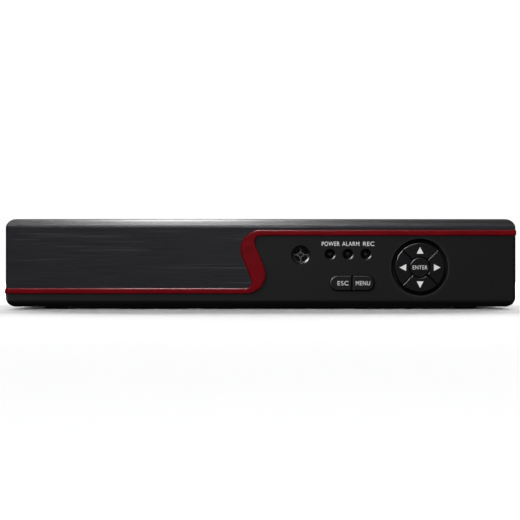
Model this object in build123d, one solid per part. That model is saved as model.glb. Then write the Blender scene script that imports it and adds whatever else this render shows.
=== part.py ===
from build123d import *
import math
import os

# Desktop video recorder: a sheet-metal case behind a moulded front, with a drive, a main board, a
# key board, rear sockets and a fan. Millimetres. +X is to the right seen from the front, the front
# looks along -Y and +Z is up. The origin is under the middle of the whole, where the feet stand.

# ---- driving dimensions: the moulded front ----
BEZEL_WIDTH = 299.0
BEZEL_HEIGHT = 51.5
BEZEL_DEPTH = 20.0
BEZEL_WALL = 2.4
BEZEL_LIFT = 1.5  # from the table to the front's lower edge
CORNER_RADIUS = 6.0  # seen from the front
TOP_EDGE_RADIUS = 5.2  # seen from the side
BOTTOM_EDGE_RADIUS = 4.0
SIDE_EDGE_RADIUS = 1.6  # seen from above
FASCIA_THICKNESS = 1.2

# ---- the S-shaped trim ----
TRIM_HEIGHT = 3.5
TRIM_PROUD = 0.5
TRIM_SINK = 1.2
TRIM_EDGE_RADIUS = 0.9
TRIM_RISE = 34.1  # between the middles of the low and the high run
TRIM_X = -4.4  # where the S crosses
TRIM_LIFT = 0.6  # the S's middle over the front's middle
TRIM_LEAN = 22.3  # degrees from upright
S_HALF_WIDTH = 7.4
S_OUTER_RADIUS = 11.5
S_INNER_RADIUS = 3.7

# ---- the keys, lamps and receiver window ----
PAD_X = 93.4
PAD_UP = 23.0  # above the front's lower edge
WELL_RING = 2.2  # between the pad and the well's wall
WELL_DEPTH = 4.0
WELL_BEVEL = 0.4
WELL_FLOOR = 1.5
PAD_RADIUS = 14.4
PAD_INNER_RADIUS = 6.2
PAD_SPLIT = 0.5
ENTER_RADIUS = 5.8
PAIR_X = 53.7
PAIR_UP = 13.8
PAIR_WIDTH = 26.0
PAIR_HEIGHT = 9.0
PAIR_SPLIT = 0.5
KEY_PROUD = 0.35
ENTER_PROUD = 0.45
KEY_CLEARANCE = 0.3
KEY_FLANGE = 1.2
KEY_FLANGE_GAP = 0.25
KEY_EDGE_RADIUS = 0.5
PAIR_PROUD = 0.45
PAIR_EDGE_RADIUS = 0.8
KEY_TRAVEL = 0.5
LAMP_X = 40.7
LAMP_PITCH = 10.5
LAMP_COUNT = 3
LAMP_UP = 30.8
LAMP_HOLE_RADIUS = 2.6
LAMP_BEVEL = 0.7
LAMP_RADIUS = 1.5
LAMP_SINK = 3.4
WINDOW_X = 23.5
WINDOW_UP = 30.5
WINDOW_RADIUS = 4.5
WINDOW_BEVEL = 0.9
SHIELD_SINK = 3.6

# ---- the key board behind the front ----
KEY_BOARD_SINK = 13.6  # from the front face to the board's face
BOARD_THICKNESS = 1.6
KEY_BOARD_LEFT_MARGIN = 9.5  # past the receiver window
KEY_BOARD_RIGHT_MARGIN = 8.0  # past the well
KEY_BOARD_LOW = 6.5
KEY_BOARD_HIGH = 44.5
SWITCH_SIDE = 6.0
SWITCH_BODY = 3.5
SWITCH_REACH = 5.0  # from the board to the stem's tip
STEM_RADIUS = 1.7

# ---- the sheet-metal case ----
CASE_DEPTH = 214.0  # front face to the rear panel's outer face
COVER_INSET = 2.0  # from the front's sides
COVER_DROP = 1.5  # from the front's top
FOOT_HEIGHT = 5.0
SHEET = 1.0
SHEET_GAP = 0.3
FLANGE_HEIGHT = 15.0
FRONT_WALL_SINK = 17.0
COVER_LIP = 5.8
FOOT_RADIUS = 8.0
FOOT_INSET_X = 24.0
FOOT_FRONT_INSET = 38.0
FOOT_REAR_INSET = 24.0
VENT_WIDTH = 2.4
VENT_HEIGHT = 20.0
VENT_PITCH = 5.2
VENT_COUNT = 18
FLOOR_VENT_LENGTH = 30.0
FLOOR_VENT_COUNT = 9
FLOOR_VENT_SHIFT = 32.0
M3_RADIUS = 1.5
M3_CLEARANCE = 0.15
THREAD_CLEARANCE = 0.02
SCREW_HEAD_RADIUS = 2.8
SCREW_HEAD_HEIGHT = 1.9
SCREW_LENGTH = 6.0
SIDE_SCREW_LENGTH = 4.0
BEND_RADIUS = 1.0

# ---- the main board and its rear sockets ----
STANDOFF = 5.0
STANDOFF_RADIUS = 3.0
STAND_RADIUS = 5.5  # the hollow stands under the drive
DRIVE_TO_BOARD = 3.1
BOARD_TO_FLANGE = 2.2
MAIN_DEPTH = 140.0
MAIN_REAR_GAP = 0.6
BNC_REACH = 12.0
BNC_COLUMNS = 4
BNC_ROWS = 2
BNC_PITCH_X = 15.5
BNC_PITCH_Z = 16.5
BNC_FROM_EDGE = 54.0  # board's left edge to the column nearest the other sockets
BNC_RISE = 8.2  # above the board, lower row
BNC_RADIUS = 4.85
BNC_WALL = 0.75
BNC_LUG_RADIUS = 1.0
BNC_LUG_REACH = 0.8
RCA_FROM_EDGE = 69.5
RCA_RISE = 6.5
RCA_PITCH = 14.0
RCA_RADIUS = 4.15
RCA_WALL = 0.6
RCA_REACH = 9.0
RCA_BORE = 1.65
DISPLAY_FROM_EDGE = 94.5
DISPLAY_RISE = 6.4
DISPLAY_NUT_PITCH = 25.0
DISPLAY_NUT_ACROSS = 5.0
DISPLAY_NUT_LENGTH = 5.0
DISPLAY_THREAD_RADIUS = 1.2
DISPLAY_STUD_RADIUS = 1.42
DISPLAY_STUD_GAP = 0.3
HD_FROM_EDGE = 121.5
USB_FROM_EDGE = 139.0
LAN_FROM_EDGE = 157.0
DC_FROM_EDGE = 174.5
SOCKET_STAND = 0.8  # how far a socket stands out of the rear panel
CUTOUT_GAP = 0.35

# ---- the drive and the fan ----
DRIVE_WIDTH = 101.6
DRIVE_LENGTH = 147.0
DRIVE_HEIGHT = 26.1
DRIVE_LID = 1.0
DRIVE_TO_FLANGE = 2.0
DRIVE_STAND = 6.5
DRIVE_SINK = 20.0
FAN_SIZE = 40.0
FAN_DEPTH = 10.0
FAN_SHIFT = -2.6  # from the drive's middle
FAN_STAND = 0.4  # over the tray's floor
FAN_HOLE_INSET = 4.0
FAN_RIM = 1.0
FAN_HUB = 10.5
FAN_TIP_GAP = 0.7
GRILLE_FIRST = 5.5
GRILLE_RING = 2.8
GRILLE_BAR = 2.0
FAN_BLADES = 7
FAN_SHAFT = 1.0
SHAFT_CLEARANCE = 0.04

# ---- places worked out from the dimensions above ----
FRONT_PROUD = max(TRIM_PROUD, ENTER_PROUD, KEY_PROUD, PAIR_PROUD)
FRONT = -(FRONT_PROUD + CASE_DEPTH + BNC_REACH) / 2 + FRONT_PROUD
REAR = FRONT + CASE_DEPTH
WALL_INSIDE = REAR - SHEET
BEZEL_LOW = BEZEL_LIFT
BEZEL_HIGH = BEZEL_LIFT + BEZEL_HEIGHT
BEZEL_BACK = FRONT + BEZEL_DEPTH
TRIM_MIDDLE = BEZEL_LIFT + BEZEL_HEIGHT / 2 + TRIM_LIFT
PAD_Z = BEZEL_LIFT + PAD_UP
PAIR_Z = BEZEL_LIFT + PAIR_UP
LAMP_Z = BEZEL_LIFT + LAMP_UP
WINDOW_Z = BEZEL_LIFT + WINDOW_UP
KEY_BOARD_FACE = FRONT + KEY_BOARD_SINK
KEY_BOARD_BACK = KEY_BOARD_FACE + BOARD_THICKNESS
STEM_TIP = KEY_BOARD_FACE - SWITCH_REACH
WELL_BACK = FRONT + WELL_DEPTH + WELL_FLOOR
WELL_RADIUS = PAD_RADIUS + WELL_RING
KEY_BOARD_LEFT = WINDOW_X - KEY_BOARD_LEFT_MARGIN
KEY_BOARD_RIGHT = PAD_X + WELL_RADIUS + KEY_BOARD_RIGHT_MARGIN
FRONT_WALL = FRONT + FRONT_WALL_SINK
COVER_FRONT = BEZEL_BACK + SHEET_GAP
COVER_WIDTH = BEZEL_WIDTH - 2 * COVER_INSET
COVER_TOP = BEZEL_HIGH - COVER_DROP
COVER_HALF = COVER_WIDTH / 2
TRAY_HALF = COVER_HALF - SHEET - SHEET_GAP
TRAY_LOW = FOOT_HEIGHT
FLOOR_TOP = TRAY_LOW + SHEET
TRAY_HIGH = COVER_TOP - SHEET - SHEET_GAP
BOARD_LOW = FLOOR_TOP + STANDOFF
BOARD_TOP = BOARD_LOW + BOARD_THICKNESS
MAIN_REAR = WALL_INSIDE - MAIN_REAR_GAP
MAIN_FRONT = MAIN_REAR - MAIN_DEPTH
DRIVE_X = -TRAY_HALF + SHEET + DRIVE_TO_FLANGE + DRIVE_WIDTH / 2
MAIN_LEFT = DRIVE_X + DRIVE_WIDTH / 2 + DRIVE_TO_BOARD
MAIN_RIGHT = TRAY_HALF - SHEET - BOARD_TO_FLANGE
BNC_X = MAIN_LEFT + BNC_FROM_EDGE
BNC_BORE = BNC_RADIUS - BNC_WALL
RCA_X = MAIN_LEFT + RCA_FROM_EDGE
DISPLAY_X = MAIN_LEFT + DISPLAY_FROM_EDGE
HD_X = MAIN_LEFT + HD_FROM_EDGE
USB_X = MAIN_LEFT + USB_FROM_EDGE
LAN_X = MAIN_LEFT + LAN_FROM_EDGE
DC_X = MAIN_LEFT + DC_FROM_EDGE
FAN_X = DRIVE_X + FAN_SHIFT
FAN_UP = FLOOR_TOP + FAN_STAND + FAN_SIZE / 2
FAN_HOLE_PITCH = FAN_SIZE - 2 * FAN_HOLE_INSET
FAN_BORE = FAN_SIZE / 2 - FAN_RIM
FAN_BLADE_TIP = FAN_BORE - FAN_TIP_GAP
DRIVE_LOW = FLOOR_TOP + DRIVE_STAND
DRIVE_FRONT = FRONT + DRIVE_SINK
DRIVE_REAR = DRIVE_FRONT + DRIVE_LENGTH
SCREW_SIDE_Z = TRAY_LOW + 8.0
LIP_SCREW_Z = COVER_TOP - COVER_LIP / 2


# ---- shapes that many pieces share ----
def block(x_low, x_high, y_low, y_high, z_low, z_high):
    """A box between two corners."""
    middle = Pos((x_low + x_high) / 2, (y_low + y_high) / 2, (z_low + z_high) / 2)
    return middle * Box(x_high - x_low, y_high - y_low, z_high - z_low)


def front_plane(y):
    """A plane seen from the front: its own x and y are the object's X and Z."""
    return Plane(origin=(0, y, 0), x_dir=(1, 0, 0), z_dir=(0, -1, 0))


def slab(sketch, y_front, y_back):
    """A sketch seen from the front, made solid between two depths."""
    return extrude(front_plane(y_back) * sketch, amount=y_back - y_front)


def rod(x, z, radius, y_front, y_back):
    """A round bar along Y."""
    return slab(Pos(x, z) * Circle(radius), y_front, y_back)


def post(x, y, radius, z_low, z_high):
    """A round bar along Z."""
    return Pos(x, y, (z_low + z_high) / 2) * Cylinder(radius, z_high - z_low)


def cone(x, z, radius_front, radius_back, y_front, y_back):
    """A round taper along Y, for a bevel round a hole."""
    middle = Pos(x, (y_front + y_back) / 2, z) * Rot(90, 0, 0)
    return middle * Cone(radius_back, radius_front, y_back - y_front)


def group(pieces):
    """Separate solids that share one node."""
    return Compound([solid for piece in pieces for solid in piece.solids()])


def screw_y(x, z, head_face, length, head_side):
    """A round-head M3 screw along Y. head_side is -1 where the head looks to the front, 1 to the rear."""
    head_end = head_face + head_side * SCREW_HEAD_HEIGHT
    tip = head_face - head_side * length
    head = rod(x, z, SCREW_HEAD_RADIUS, min(head_face, head_end), max(head_face, head_end))
    rim = head.faces().sort_by(Axis.Y)[0 if head_side < 0 else -1].edges()
    head = fillet(rim, SCREW_HEAD_HEIGHT * 0.6)
    slot_depth = SCREW_HEAD_HEIGHT * 0.6
    slot_from, slot_to = sorted((head_end - head_side * slot_depth, head_end + head_side))
    recess = Rectangle(SCREW_HEAD_RADIUS * 1.1, 0.7) + Rectangle(0.7, SCREW_HEAD_RADIUS * 1.1)
    head -= slab(Pos(x, z) * recess, slot_from, slot_to)
    shank = rod(x, z, M3_RADIUS, min(head_face, tip), max(head_face, tip))
    return head + shank


def turn_to_x(screw, x, y, z, side):
    """A screw made at the origin along Y, moved so that it goes in from the case's side."""
    return Pos(x, y, z) * Rot(0, 0, -90 * side) * screw


def turn_to_z(screw, x, y, z, up):
    """A screw made at the origin along Y, stood upright. up is 1 where its head looks up."""
    return Pos(x, y, z) * Rot(90 * up, 0, 0) * screw


# ---- the moulded front ----
def bezel_body(inset, back):
    """The front's outer form, moved inwards by inset, from its face to the depth called back."""
    low, high = BEZEL_LOW + inset, BEZEL_HIGH - inset
    half = BEZEL_WIDTH / 2 - inset
    face = FRONT + inset
    middle = (low + high) / 2
    outline = RectangleRounded(2 * half, high - low, max(CORNER_RADIUS - inset, 0.4))
    body = slab(Pos(0, middle) * outline, face, back)
    top, bottom = max(TOP_EDGE_RADIUS - inset, 0.4), max(BOTTOM_EDGE_RADIUS - inset, 0.4)
    side = Polyline((back, low), (face, low), (face, high), (back, high), close=True)
    side_face = make_face(side)
    corners = side_face.vertices().group_by(Axis.X)[0].sort_by(Axis.Y)
    side_face = fillet(corners[0], bottom)
    high_corner = side_face.vertices().group_by(Axis.X)[0]
    high_corner = [v for v in side_face.vertices() if abs(v.Y - high) < 1e-6 and abs(v.X - face) < 1e-6]
    side_face = fillet(high_corner, top)
    across = Plane(origin=(-half - 1, 0, 0), x_dir=(0, 1, 0), z_dir=(1, 0, 0))
    body &= extrude(across * side_face, amount=2 * half + 2)
    plan = make_face(Polyline((-half, back), (-half, face), (half, face), (half, back), close=True))
    plan = fillet(plan.vertices().group_by(Axis.Y)[0], max(SIDE_EDGE_RADIUS - inset, 0.4))
    body &= extrude(Pos(0, 0, low - 1) * plan, amount=high - low + 2)
    return body


def trim_edge(reach):
    """The trim's upper edge from left to right, round the middle of the S, as one wire."""
    lean = math.radians(TRIM_LEAN)
    low = -TRIM_RISE / 2 + TRIM_HEIGHT / 2
    high = TRIM_RISE / 2 + TRIM_HEIGHT / 2
    outer_x, outer_z = -S_HALF_WIDTH + S_OUTER_RADIUS, high - S_OUTER_RADIUS
    outer_start = (
        outer_x - S_OUTER_RADIUS * math.cos(lean),
        outer_z - S_OUTER_RADIUS * math.sin(lean),
    )
    inner_z = low + S_INNER_RADIUS
    run = (outer_start[1] - S_INNER_RADIUS * math.sin(lean) - inner_z) / math.cos(lean)
    inner_x = outer_start[0] + run * math.sin(lean) - S_INNER_RADIUS * math.cos(lean)
    inner_end = (
        inner_x + S_INNER_RADIUS * math.cos(lean),
        inner_z + S_INNER_RADIUS * math.sin(lean),
    )
    return [
        Line((-reach, low), (inner_x, low)),
        CenterArc((inner_x, inner_z), S_INNER_RADIUS, -90, 90 + TRIM_LEAN),
        Line(inner_end, outer_start),
        CenterArc((outer_x, outer_z), S_OUTER_RADIUS, 180 + TRIM_LEAN, -90 - TRIM_LEAN),
        Line((outer_x, high), (reach, high)),
    ]


TRIM_ENDS = BEZEL_WIDTH  # well past both sides


def trim_band():
    """The trim seen from the front: the same edge above and, turned half round, below."""
    above = trim_edge(TRIM_ENDS)
    below = [edge.rotate(Axis.Z, 180) for edge in trim_edge(TRIM_ENDS)]
    low = -TRIM_RISE / 2 + TRIM_HEIGHT / 2
    ends = [
        Line((-TRIM_ENDS, low), (-TRIM_ENDS, low - TRIM_HEIGHT)),
        Line((TRIM_ENDS, -low), (TRIM_ENDS, -low + TRIM_HEIGHT)),
    ]
    return Pos(TRIM_X, TRIM_MIDDLE) * make_face(Curve() + above + below + ends)


def above_trim():
    """Everything over the trim, seen from the front."""
    above = trim_edge(TRIM_ENDS)
    roof = TRIM_RISE + BEZEL_HEIGHT
    low, high = -TRIM_RISE / 2 + TRIM_HEIGHT / 2, TRIM_RISE / 2 + TRIM_HEIGHT / 2
    frame = [
        Line((-TRIM_ENDS, low), (-TRIM_ENDS, roof)),
        Line((-TRIM_ENDS, roof), (TRIM_ENDS, roof)),
        Line((TRIM_ENDS, roof), (TRIM_ENDS, high)),
    ]
    return Pos(TRIM_X, TRIM_MIDDLE) * make_face(Curve() + above + frame)


def skin(outset, inset):
    """The layer of the front between two offsets of its outer form, open at the back."""
    return bezel_body(-outset, BEZEL_BACK) - bezel_body(inset, BEZEL_BACK + 1)


def height_over_front(point):
    """How far a point stands out of the front's face, side edges and sides."""
    out_x = max(abs(point.X) - (BEZEL_WIDTH / 2 - SIDE_EDGE_RADIUS), 0)
    out_y = max(FRONT + SIDE_EDGE_RADIUS - point.Y, 0)
    return math.hypot(out_x, out_y) - SIDE_EDGE_RADIUS


def red_trim():
    """The gloss strip, standing proud of the front and wrapped onto both of its sides."""
    trim = skin(TRIM_PROUD, TRIM_SINK) & slab(trim_band(), FRONT - 5, BEZEL_BACK)
    proud = [
        edge
        for edge in trim.edges()
        if all(height_over_front(edge @ t) > 0.9 * TRIM_PROUD for t in (0.25, 0.5, 0.75))
        and (edge @ 0.5).Y < BEZEL_BACK - 0.01
    ]
    return fillet(proud, TRIM_EDGE_RADIUS)


def upper_fascia():
    """The brushed skin over the trim: face, top edge and the upper part of the sides."""
    return skin(0, FASCIA_THICKNESS) & slab(above_trim(), FRONT - 5, BEZEL_BACK)


def lamp_places():
    """The middles of the indicator lamps, left to right."""
    return [(LAMP_X + n * LAMP_PITCH, LAMP_Z) for n in range(LAMP_COUNT)]


def key_board_fixings():
    """The key board's four screw places."""
    inset = 3.6
    low, high = BEZEL_LIFT + KEY_BOARD_LOW + inset, BEZEL_LIFT + KEY_BOARD_HIGH - inset
    return [(x, z) for x in (KEY_BOARD_LEFT + inset, KEY_BOARD_RIGHT - inset) for z in (low, high)]


def bezel_fixings():
    """The six screw places that hold the front to the tray."""
    side = BEZEL_WIDTH / 2 - 13.0
    low, high = BEZEL_LOW + 10.0, BEZEL_HIGH - 9.0
    return [(x, z) for x in (-side, -12.0, side) for z in (low, high)]


def pair_outline(grow):
    """The stadium that the two side-by-side keys share, grown all round."""
    return SlotOverall(PAIR_WIDTH + 2 * grow, PAIR_HEIGHT + 2 * grow)


BOSS_RADIUS = 3.2
PILOT_RADIUS = 1.25
BOSS_BITE = 0.8  # how far a boss runs into the wall that carries it


def front_bezel():
    """The black moulding that carries the fascia, the trim and all the controls."""
    body = bezel_body(0, BEZEL_BACK) - bezel_body(BEZEL_WALL, BEZEL_BACK + 1)
    wall_back = FRONT + BEZEL_WALL
    inside = wall_back - BOSS_BITE
    body += rod(PAD_X, PAD_Z, WELL_RADIUS + WELL_FLOOR, inside, WELL_BACK)
    for x, z in key_board_fixings():
        body += rod(x, z, BOSS_RADIUS, inside, KEY_BOARD_FACE)
    for x, z in bezel_fixings():
        body += rod(x, z, BOSS_RADIUS, inside, FRONT_WALL)
    tube_back = FRONT + LAMP_SINK + 3.0
    for x, z in lamp_places():
        body += rod(x, z, LAMP_HOLE_RADIUS + 1.0, inside, tube_back)
    for x, z in key_board_fixings():
        body -= rod(x, z, PILOT_RADIUS, KEY_BOARD_FACE - 7.0, KEY_BOARD_FACE + 1)
    for x, z in bezel_fixings():
        body -= rod(x, z, PILOT_RADIUS, FRONT_WALL - 8.0, FRONT_WALL + 1)
    for x, z in lamp_places():
        body -= rod(x, z, LAMP_HOLE_RADIUS, FRONT - 1, tube_back + 1)
        body -= cone(x, z, LAMP_HOLE_RADIUS + LAMP_BEVEL, LAMP_HOLE_RADIUS, FRONT, FRONT + LAMP_BEVEL)
    body -= rod(WINDOW_X, WINDOW_Z, WINDOW_RADIUS, FRONT - 1, wall_back + 1)
    body -= cone(
        WINDOW_X, WINDOW_Z, WINDOW_RADIUS + WINDOW_BEVEL, WINDOW_RADIUS, FRONT, FRONT + WINDOW_BEVEL
    )
    body -= rod(PAD_X, PAD_Z, WELL_RADIUS, FRONT - 1, FRONT + WELL_DEPTH)
    body -= cone(PAD_X, PAD_Z, WELL_RADIUS + WELL_BEVEL, WELL_RADIUS, FRONT, FRONT + WELL_BEVEL)
    body -= rod(PAD_X, PAD_Z, PAD_RADIUS + KEY_CLEARANCE, FRONT, WELL_BACK + 1)
    body -= slab(Pos(PAIR_X, PAIR_Z) * pair_outline(KEY_CLEARANCE), FRONT - 1, wall_back + 1)
    body -= slab(above_trim(), FRONT - 1, BEZEL_BACK + 1) & skin(1, FASCIA_THICKNESS)
    body -= slab(trim_band(), FRONT - 1, BEZEL_BACK + 1) & skin(1, TRIM_SINK)
    return body


# ---- the keys ----
def sector(inner, outer, direction):
    """A quarter of the pad seen from the front, cut back from its neighbours on both diagonals."""
    ring = Circle(outer) - Circle(inner)
    far = 2 * outer
    shift = PAD_SPLIT / math.sqrt(2)
    wedge = make_face(Polyline((shift, 0), (shift + far, far), (shift + far, -far), close=True))
    return Pos(PAD_X, PAD_Z) * (ring & Rot(0, 0, direction) * wedge)


def key_cap(outline, flange, proud, edge_radius, flange_front, x, z):
    """A key: its cap with a rounded edge, the flange that keeps it in, and the post to its switch."""
    face = FRONT - proud
    cap = slab(outline, face, flange_front + KEY_FLANGE)
    cap = fillet(cap.faces().sort_by(Axis.Y)[0].edges(), edge_radius)
    rim = slab(flange, flange_front, flange_front + KEY_FLANGE)
    foot = rod(x, z, STEM_RADIUS + 0.4, flange_front + KEY_FLANGE, STEM_TIP)
    return cap + rim + foot


SWITCH_ORBIT = (PAD_INNER_RADIUS + PAD_RADIUS) / 2  # from the pad's middle to its outer switches
PAD_DIRECTIONS = {"right": 0, "up": 90, "left": 180, "down": 270}
PAD_FLANGE = 1.6


def pad_switch(name):
    """Where the switch of a direction key sits."""
    turn = math.radians(PAD_DIRECTIONS[name])
    return PAD_X + SWITCH_ORBIT * math.cos(turn), PAD_Z + SWITCH_ORBIT * math.sin(turn)


def pair_switches():
    """The switches of the two side-by-side keys, left and right."""
    offset = (PAIR_WIDTH + PAIR_SPLIT) / 4
    return {"esc": (PAIR_X - offset, PAIR_Z), "menu": (PAIR_X + offset, PAIR_Z)}


def switch_places():
    """Every switch on the key board, by the name of its key."""
    places = {name: pad_switch(name) for name in PAD_DIRECTIONS}
    places["enter"] = (PAD_X, PAD_Z)
    places.update(pair_switches())
    return places


def direction_key(name):
    """One quarter of the round pad."""
    turn = PAD_DIRECTIONS[name]
    cap = sector(PAD_INNER_RADIUS, PAD_RADIUS, turn)
    flange = sector(PAD_INNER_RADIUS, PAD_RADIUS + PAD_FLANGE, turn)
    flange_front = WELL_BACK + KEY_FLANGE_GAP
    return key_cap(cap, flange, KEY_PROUD, KEY_EDGE_RADIUS, flange_front, *pad_switch(name))


def enter_key():
    """The round key in the middle of the pad, kept in by a flange behind its neighbours."""
    behind = WELL_BACK + KEY_FLANGE_GAP + KEY_FLANGE + KEY_TRAVEL + KEY_FLANGE_GAP
    flange = Pos(PAD_X, PAD_Z) * Circle(PAD_INNER_RADIUS + 1.2)
    cap = Pos(PAD_X, PAD_Z) * Circle(ENTER_RADIUS)
    face = FRONT - ENTER_PROUD
    solid = slab(cap, face, behind)
    solid = fillet(solid.faces().sort_by(Axis.Y)[0].edges(), KEY_EDGE_RADIUS)
    return solid + slab(flange, behind, STEM_TIP)


def half_key(name):
    """One of the two side-by-side keys, half a stadium."""
    side = -1 if name == "esc" else 1
    x, z = pair_switches()[name]
    middle = PAIR_X + side * (PAIR_SPLIT / 2 + PAIR_WIDTH)
    half = Pos(middle, PAIR_Z) * Rectangle(2 * PAIR_WIDTH, 4 * PAIR_HEIGHT)
    cap = Pos(PAIR_X, PAIR_Z) * pair_outline(0) & half
    flange = Pos(PAIR_X, PAIR_Z) * pair_outline(1.2) & half
    flange_front = FRONT + BEZEL_WALL + KEY_FLANGE_GAP
    return key_cap(cap, flange, PAIR_PROUD, PAIR_EDGE_RADIUS, flange_front, x, z)


STEM_ROOM = 0.1  # between a switch's stem and the hole that guides it
STEM_HOLE_DEPTH = 2.8


def tact_switches():
    """The seven push switches, without their stems."""
    pieces = []
    for x, z in switch_places().values():
        top = KEY_BOARD_FACE - SWITCH_BODY
        body = slab(Pos(x, z) * RectangleRounded(SWITCH_SIDE, SWITCH_SIDE, 0.5), top, KEY_BOARD_FACE)
        body -= rod(x, z, STEM_RADIUS + STEM_ROOM, top - 1, top + STEM_HOLE_DEPTH)
        pieces.append(body)
    return group(pieces)


def switch_stem(x, z):
    """The plunger of one switch, which its key pushes in."""
    end = KEY_BOARD_FACE - SWITCH_BODY + STEM_HOLE_DEPTH - KEY_TRAVEL - 0.3
    return rod(x, z, STEM_RADIUS, STEM_TIP, end)


# ---- what else is on the key board ----
def key_board():
    """The key board, with its four screw holes."""
    low, high = BEZEL_LIFT + KEY_BOARD_LOW, BEZEL_LIFT + KEY_BOARD_HIGH
    board = block(KEY_BOARD_LEFT, KEY_BOARD_RIGHT, KEY_BOARD_FACE, KEY_BOARD_BACK, low, high)
    for x, z in key_board_fixings():
        board -= rod(x, z, M3_RADIUS, KEY_BOARD_FACE - 1, KEY_BOARD_BACK + 1)
    return board


def key_board_screws():
    """Self-tapping screws through the key board into the front's bosses."""
    pieces = []
    for x, z in key_board_fixings():
        head = rod(x, z, 2.2, KEY_BOARD_BACK, KEY_BOARD_BACK + 1.4)
        shank = rod(x, z, PILOT_RADIUS - THREAD_CLEARANCE, KEY_BOARD_BACK - 7.0, KEY_BOARD_BACK)
        pieces.append(head + shank)
    return group(pieces)


def indicator_lamps():
    """Three 3 mm lamps on their legs, set back in their tubes."""
    pieces = []
    tip = FRONT + LAMP_SINK
    for x, z in lamp_places():
        lens = rod(x, z, LAMP_RADIUS, tip + LAMP_RADIUS, tip + 4.3)
        dome = Pos(x, tip + LAMP_RADIUS, z) * Sphere(LAMP_RADIUS)
        collar = rod(x, z, LAMP_RADIUS + 0.4, tip + 4.3, tip + 5.3)
        legs = [
            block(x + dx - 0.25, x + dx + 0.25, tip + 5.3, KEY_BOARD_FACE, z - 0.25, z + 0.25)
            for dx in (-1.27, 1.27)
        ]
        pieces.append(lens + dome + collar + legs[0] + legs[1])
    return group(pieces)


SHIELD_WIDTH = 10.6
SHIELD_HEIGHT = 12.0
SHIELD_METAL = 0.4


def window_shield():
    """The stamped can round the remote-control receiver, with a cross over its round window."""
    front = FRONT + SHIELD_SINK
    back = KEY_BOARD_FACE
    outline = Pos(WINDOW_X, WINDOW_Z) * RectangleRounded(SHIELD_WIDTH, SHIELD_HEIGHT, 0.8)
    hollow = Pos(WINDOW_X, WINDOW_Z) * RectangleRounded(
        SHIELD_WIDTH - 2 * SHIELD_METAL, SHIELD_HEIGHT - 2 * SHIELD_METAL, 0.4
    )
    can = slab(outline, front, back) - slab(hollow, front + SHIELD_METAL, back + 1)
    window = Circle(WINDOW_RADIUS - 0.2)
    arms = Rectangle(2 * WINDOW_RADIUS, 0.7) + Rectangle(0.7, 2 * WINDOW_RADIUS)
    diamond = Rot(0, 0, 45) * (Rectangle(3.3, 3.3) - Rectangle(2.1, 2.1))
    middle = Rot(0, 0, 45) * Rectangle(2.1, 2.1)
    opening = window - (arms - middle) - diamond
    return can - slab(Pos(WINDOW_X, WINDOW_Z) * opening, front - 1, front + SHIELD_METAL)


def remote_receiver():
    """The dark receiver block with its round lens, inside the shield."""
    front = FRONT + SHIELD_SINK + SHIELD_METAL + 1.8
    body = slab(Pos(WINDOW_X, WINDOW_Z) * Rectangle(6.4, 7.6), front, KEY_BOARD_FACE)
    lens = Pos(WINDOW_X, front + 1.0, WINDOW_Z) * Sphere(2.4)
    return body + lens


RIBBON_WIDTH = 14.0
RIBBON_X = 68.0
RIBBON_THICKNESS = 0.9
RIBBON_UP = 20.0


def ribbon_run():
    """The ribbon's path, in a plane along the case: from the key board down to the main board."""
    start = KEY_BOARD_BACK + 2.0
    end = MAIN_FRONT + 12.0
    low = BOARD_TOP + 4.0
    high = BEZEL_LIFT + RIBBON_UP + 2.0
    return FilletPolyline(
        (start, high), ((start + end) / 2, high), (end, high - 2.0), (end, low), radius=[12.0, 3.5]
    )


def ribbon_cable():
    """The flat cable between the two boards, with a plug at each end."""
    run = ribbon_run()
    side = trace(run, RIBBON_THICKNESS)
    across = Plane(origin=(RIBBON_X - RIBBON_WIDTH / 2, 0, 0), x_dir=(0, 1, 0), z_dir=(1, 0, 0))
    cable = extrude(across * side, amount=RIBBON_WIDTH)
    start, end = run @ 0, run @ 1
    half = RIBBON_WIDTH / 2 + 1.0
    low, high = RIBBON_X - half, RIBBON_X + half
    near = block(low, high, KEY_BOARD_BACK, start.X, start.Y - 2.5, start.Y + 2.5)
    far = block(low, high, end.X - 2.5, end.X + 2.5, BOARD_TOP, end.Y)
    return group([cable, near, far])


# ---- the sheet-metal case ----
def foot_places():
    """The middles of the four feet."""
    x = COVER_HALF - FOOT_INSET_X
    return [(sx * x, y) for sx in (-1, 1) for y in (FRONT + FOOT_FRONT_INSET, REAR - FOOT_REAR_INSET)]


def side_screw_places():
    """Where the cover is screwed to the tray's side flanges, along Y."""
    return (COVER_FRONT + 30.0, REAR - 30.0)


def lip_screw_places():
    """Where the cover's rear lip is screwed to the rear panel, along X."""
    side = COVER_HALF - 20.0
    return (-side, -20.0, side)


def board_fixings():
    """The main board's screw places."""
    inset = 5.0
    xs = (MAIN_LEFT + inset, (MAIN_LEFT + MAIN_RIGHT) / 2, MAIN_RIGHT - inset)
    return [(x, y) for x in xs for y in (MAIN_FRONT + inset, MAIN_REAR - 44.0)]


def drive_fixings():
    """The drive's four bottom screw places, on its standard pitch."""
    half = 95.25 / 2
    first = DRIVE_FRONT + 41.3
    return [(DRIVE_X + sx * half, y) for sx in (-1, 1) for y in (first, first + 44.45)]


def bnc_places():
    """The middles of the round video inputs, seen from the front."""
    low = BOARD_TOP + BNC_RISE
    columns = [BNC_X - n * BNC_PITCH_X for n in range(BNC_COLUMNS)]
    return [(x, low + row * BNC_PITCH_Z) for x in columns for row in range(BNC_ROWS)]


def rca_places():
    """The middles of the two audio jacks, one over the other."""
    return [(RCA_X, BOARD_TOP + RCA_RISE + n * RCA_PITCH) for n in range(2)]


def display_nut_places():
    """The two hexagon nuts beside the display socket."""
    half = DISPLAY_NUT_PITCH / 2
    return [(DISPLAY_X + sx * half, BOARD_TOP + DISPLAY_RISE) for sx in (-1, 1)]


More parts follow.
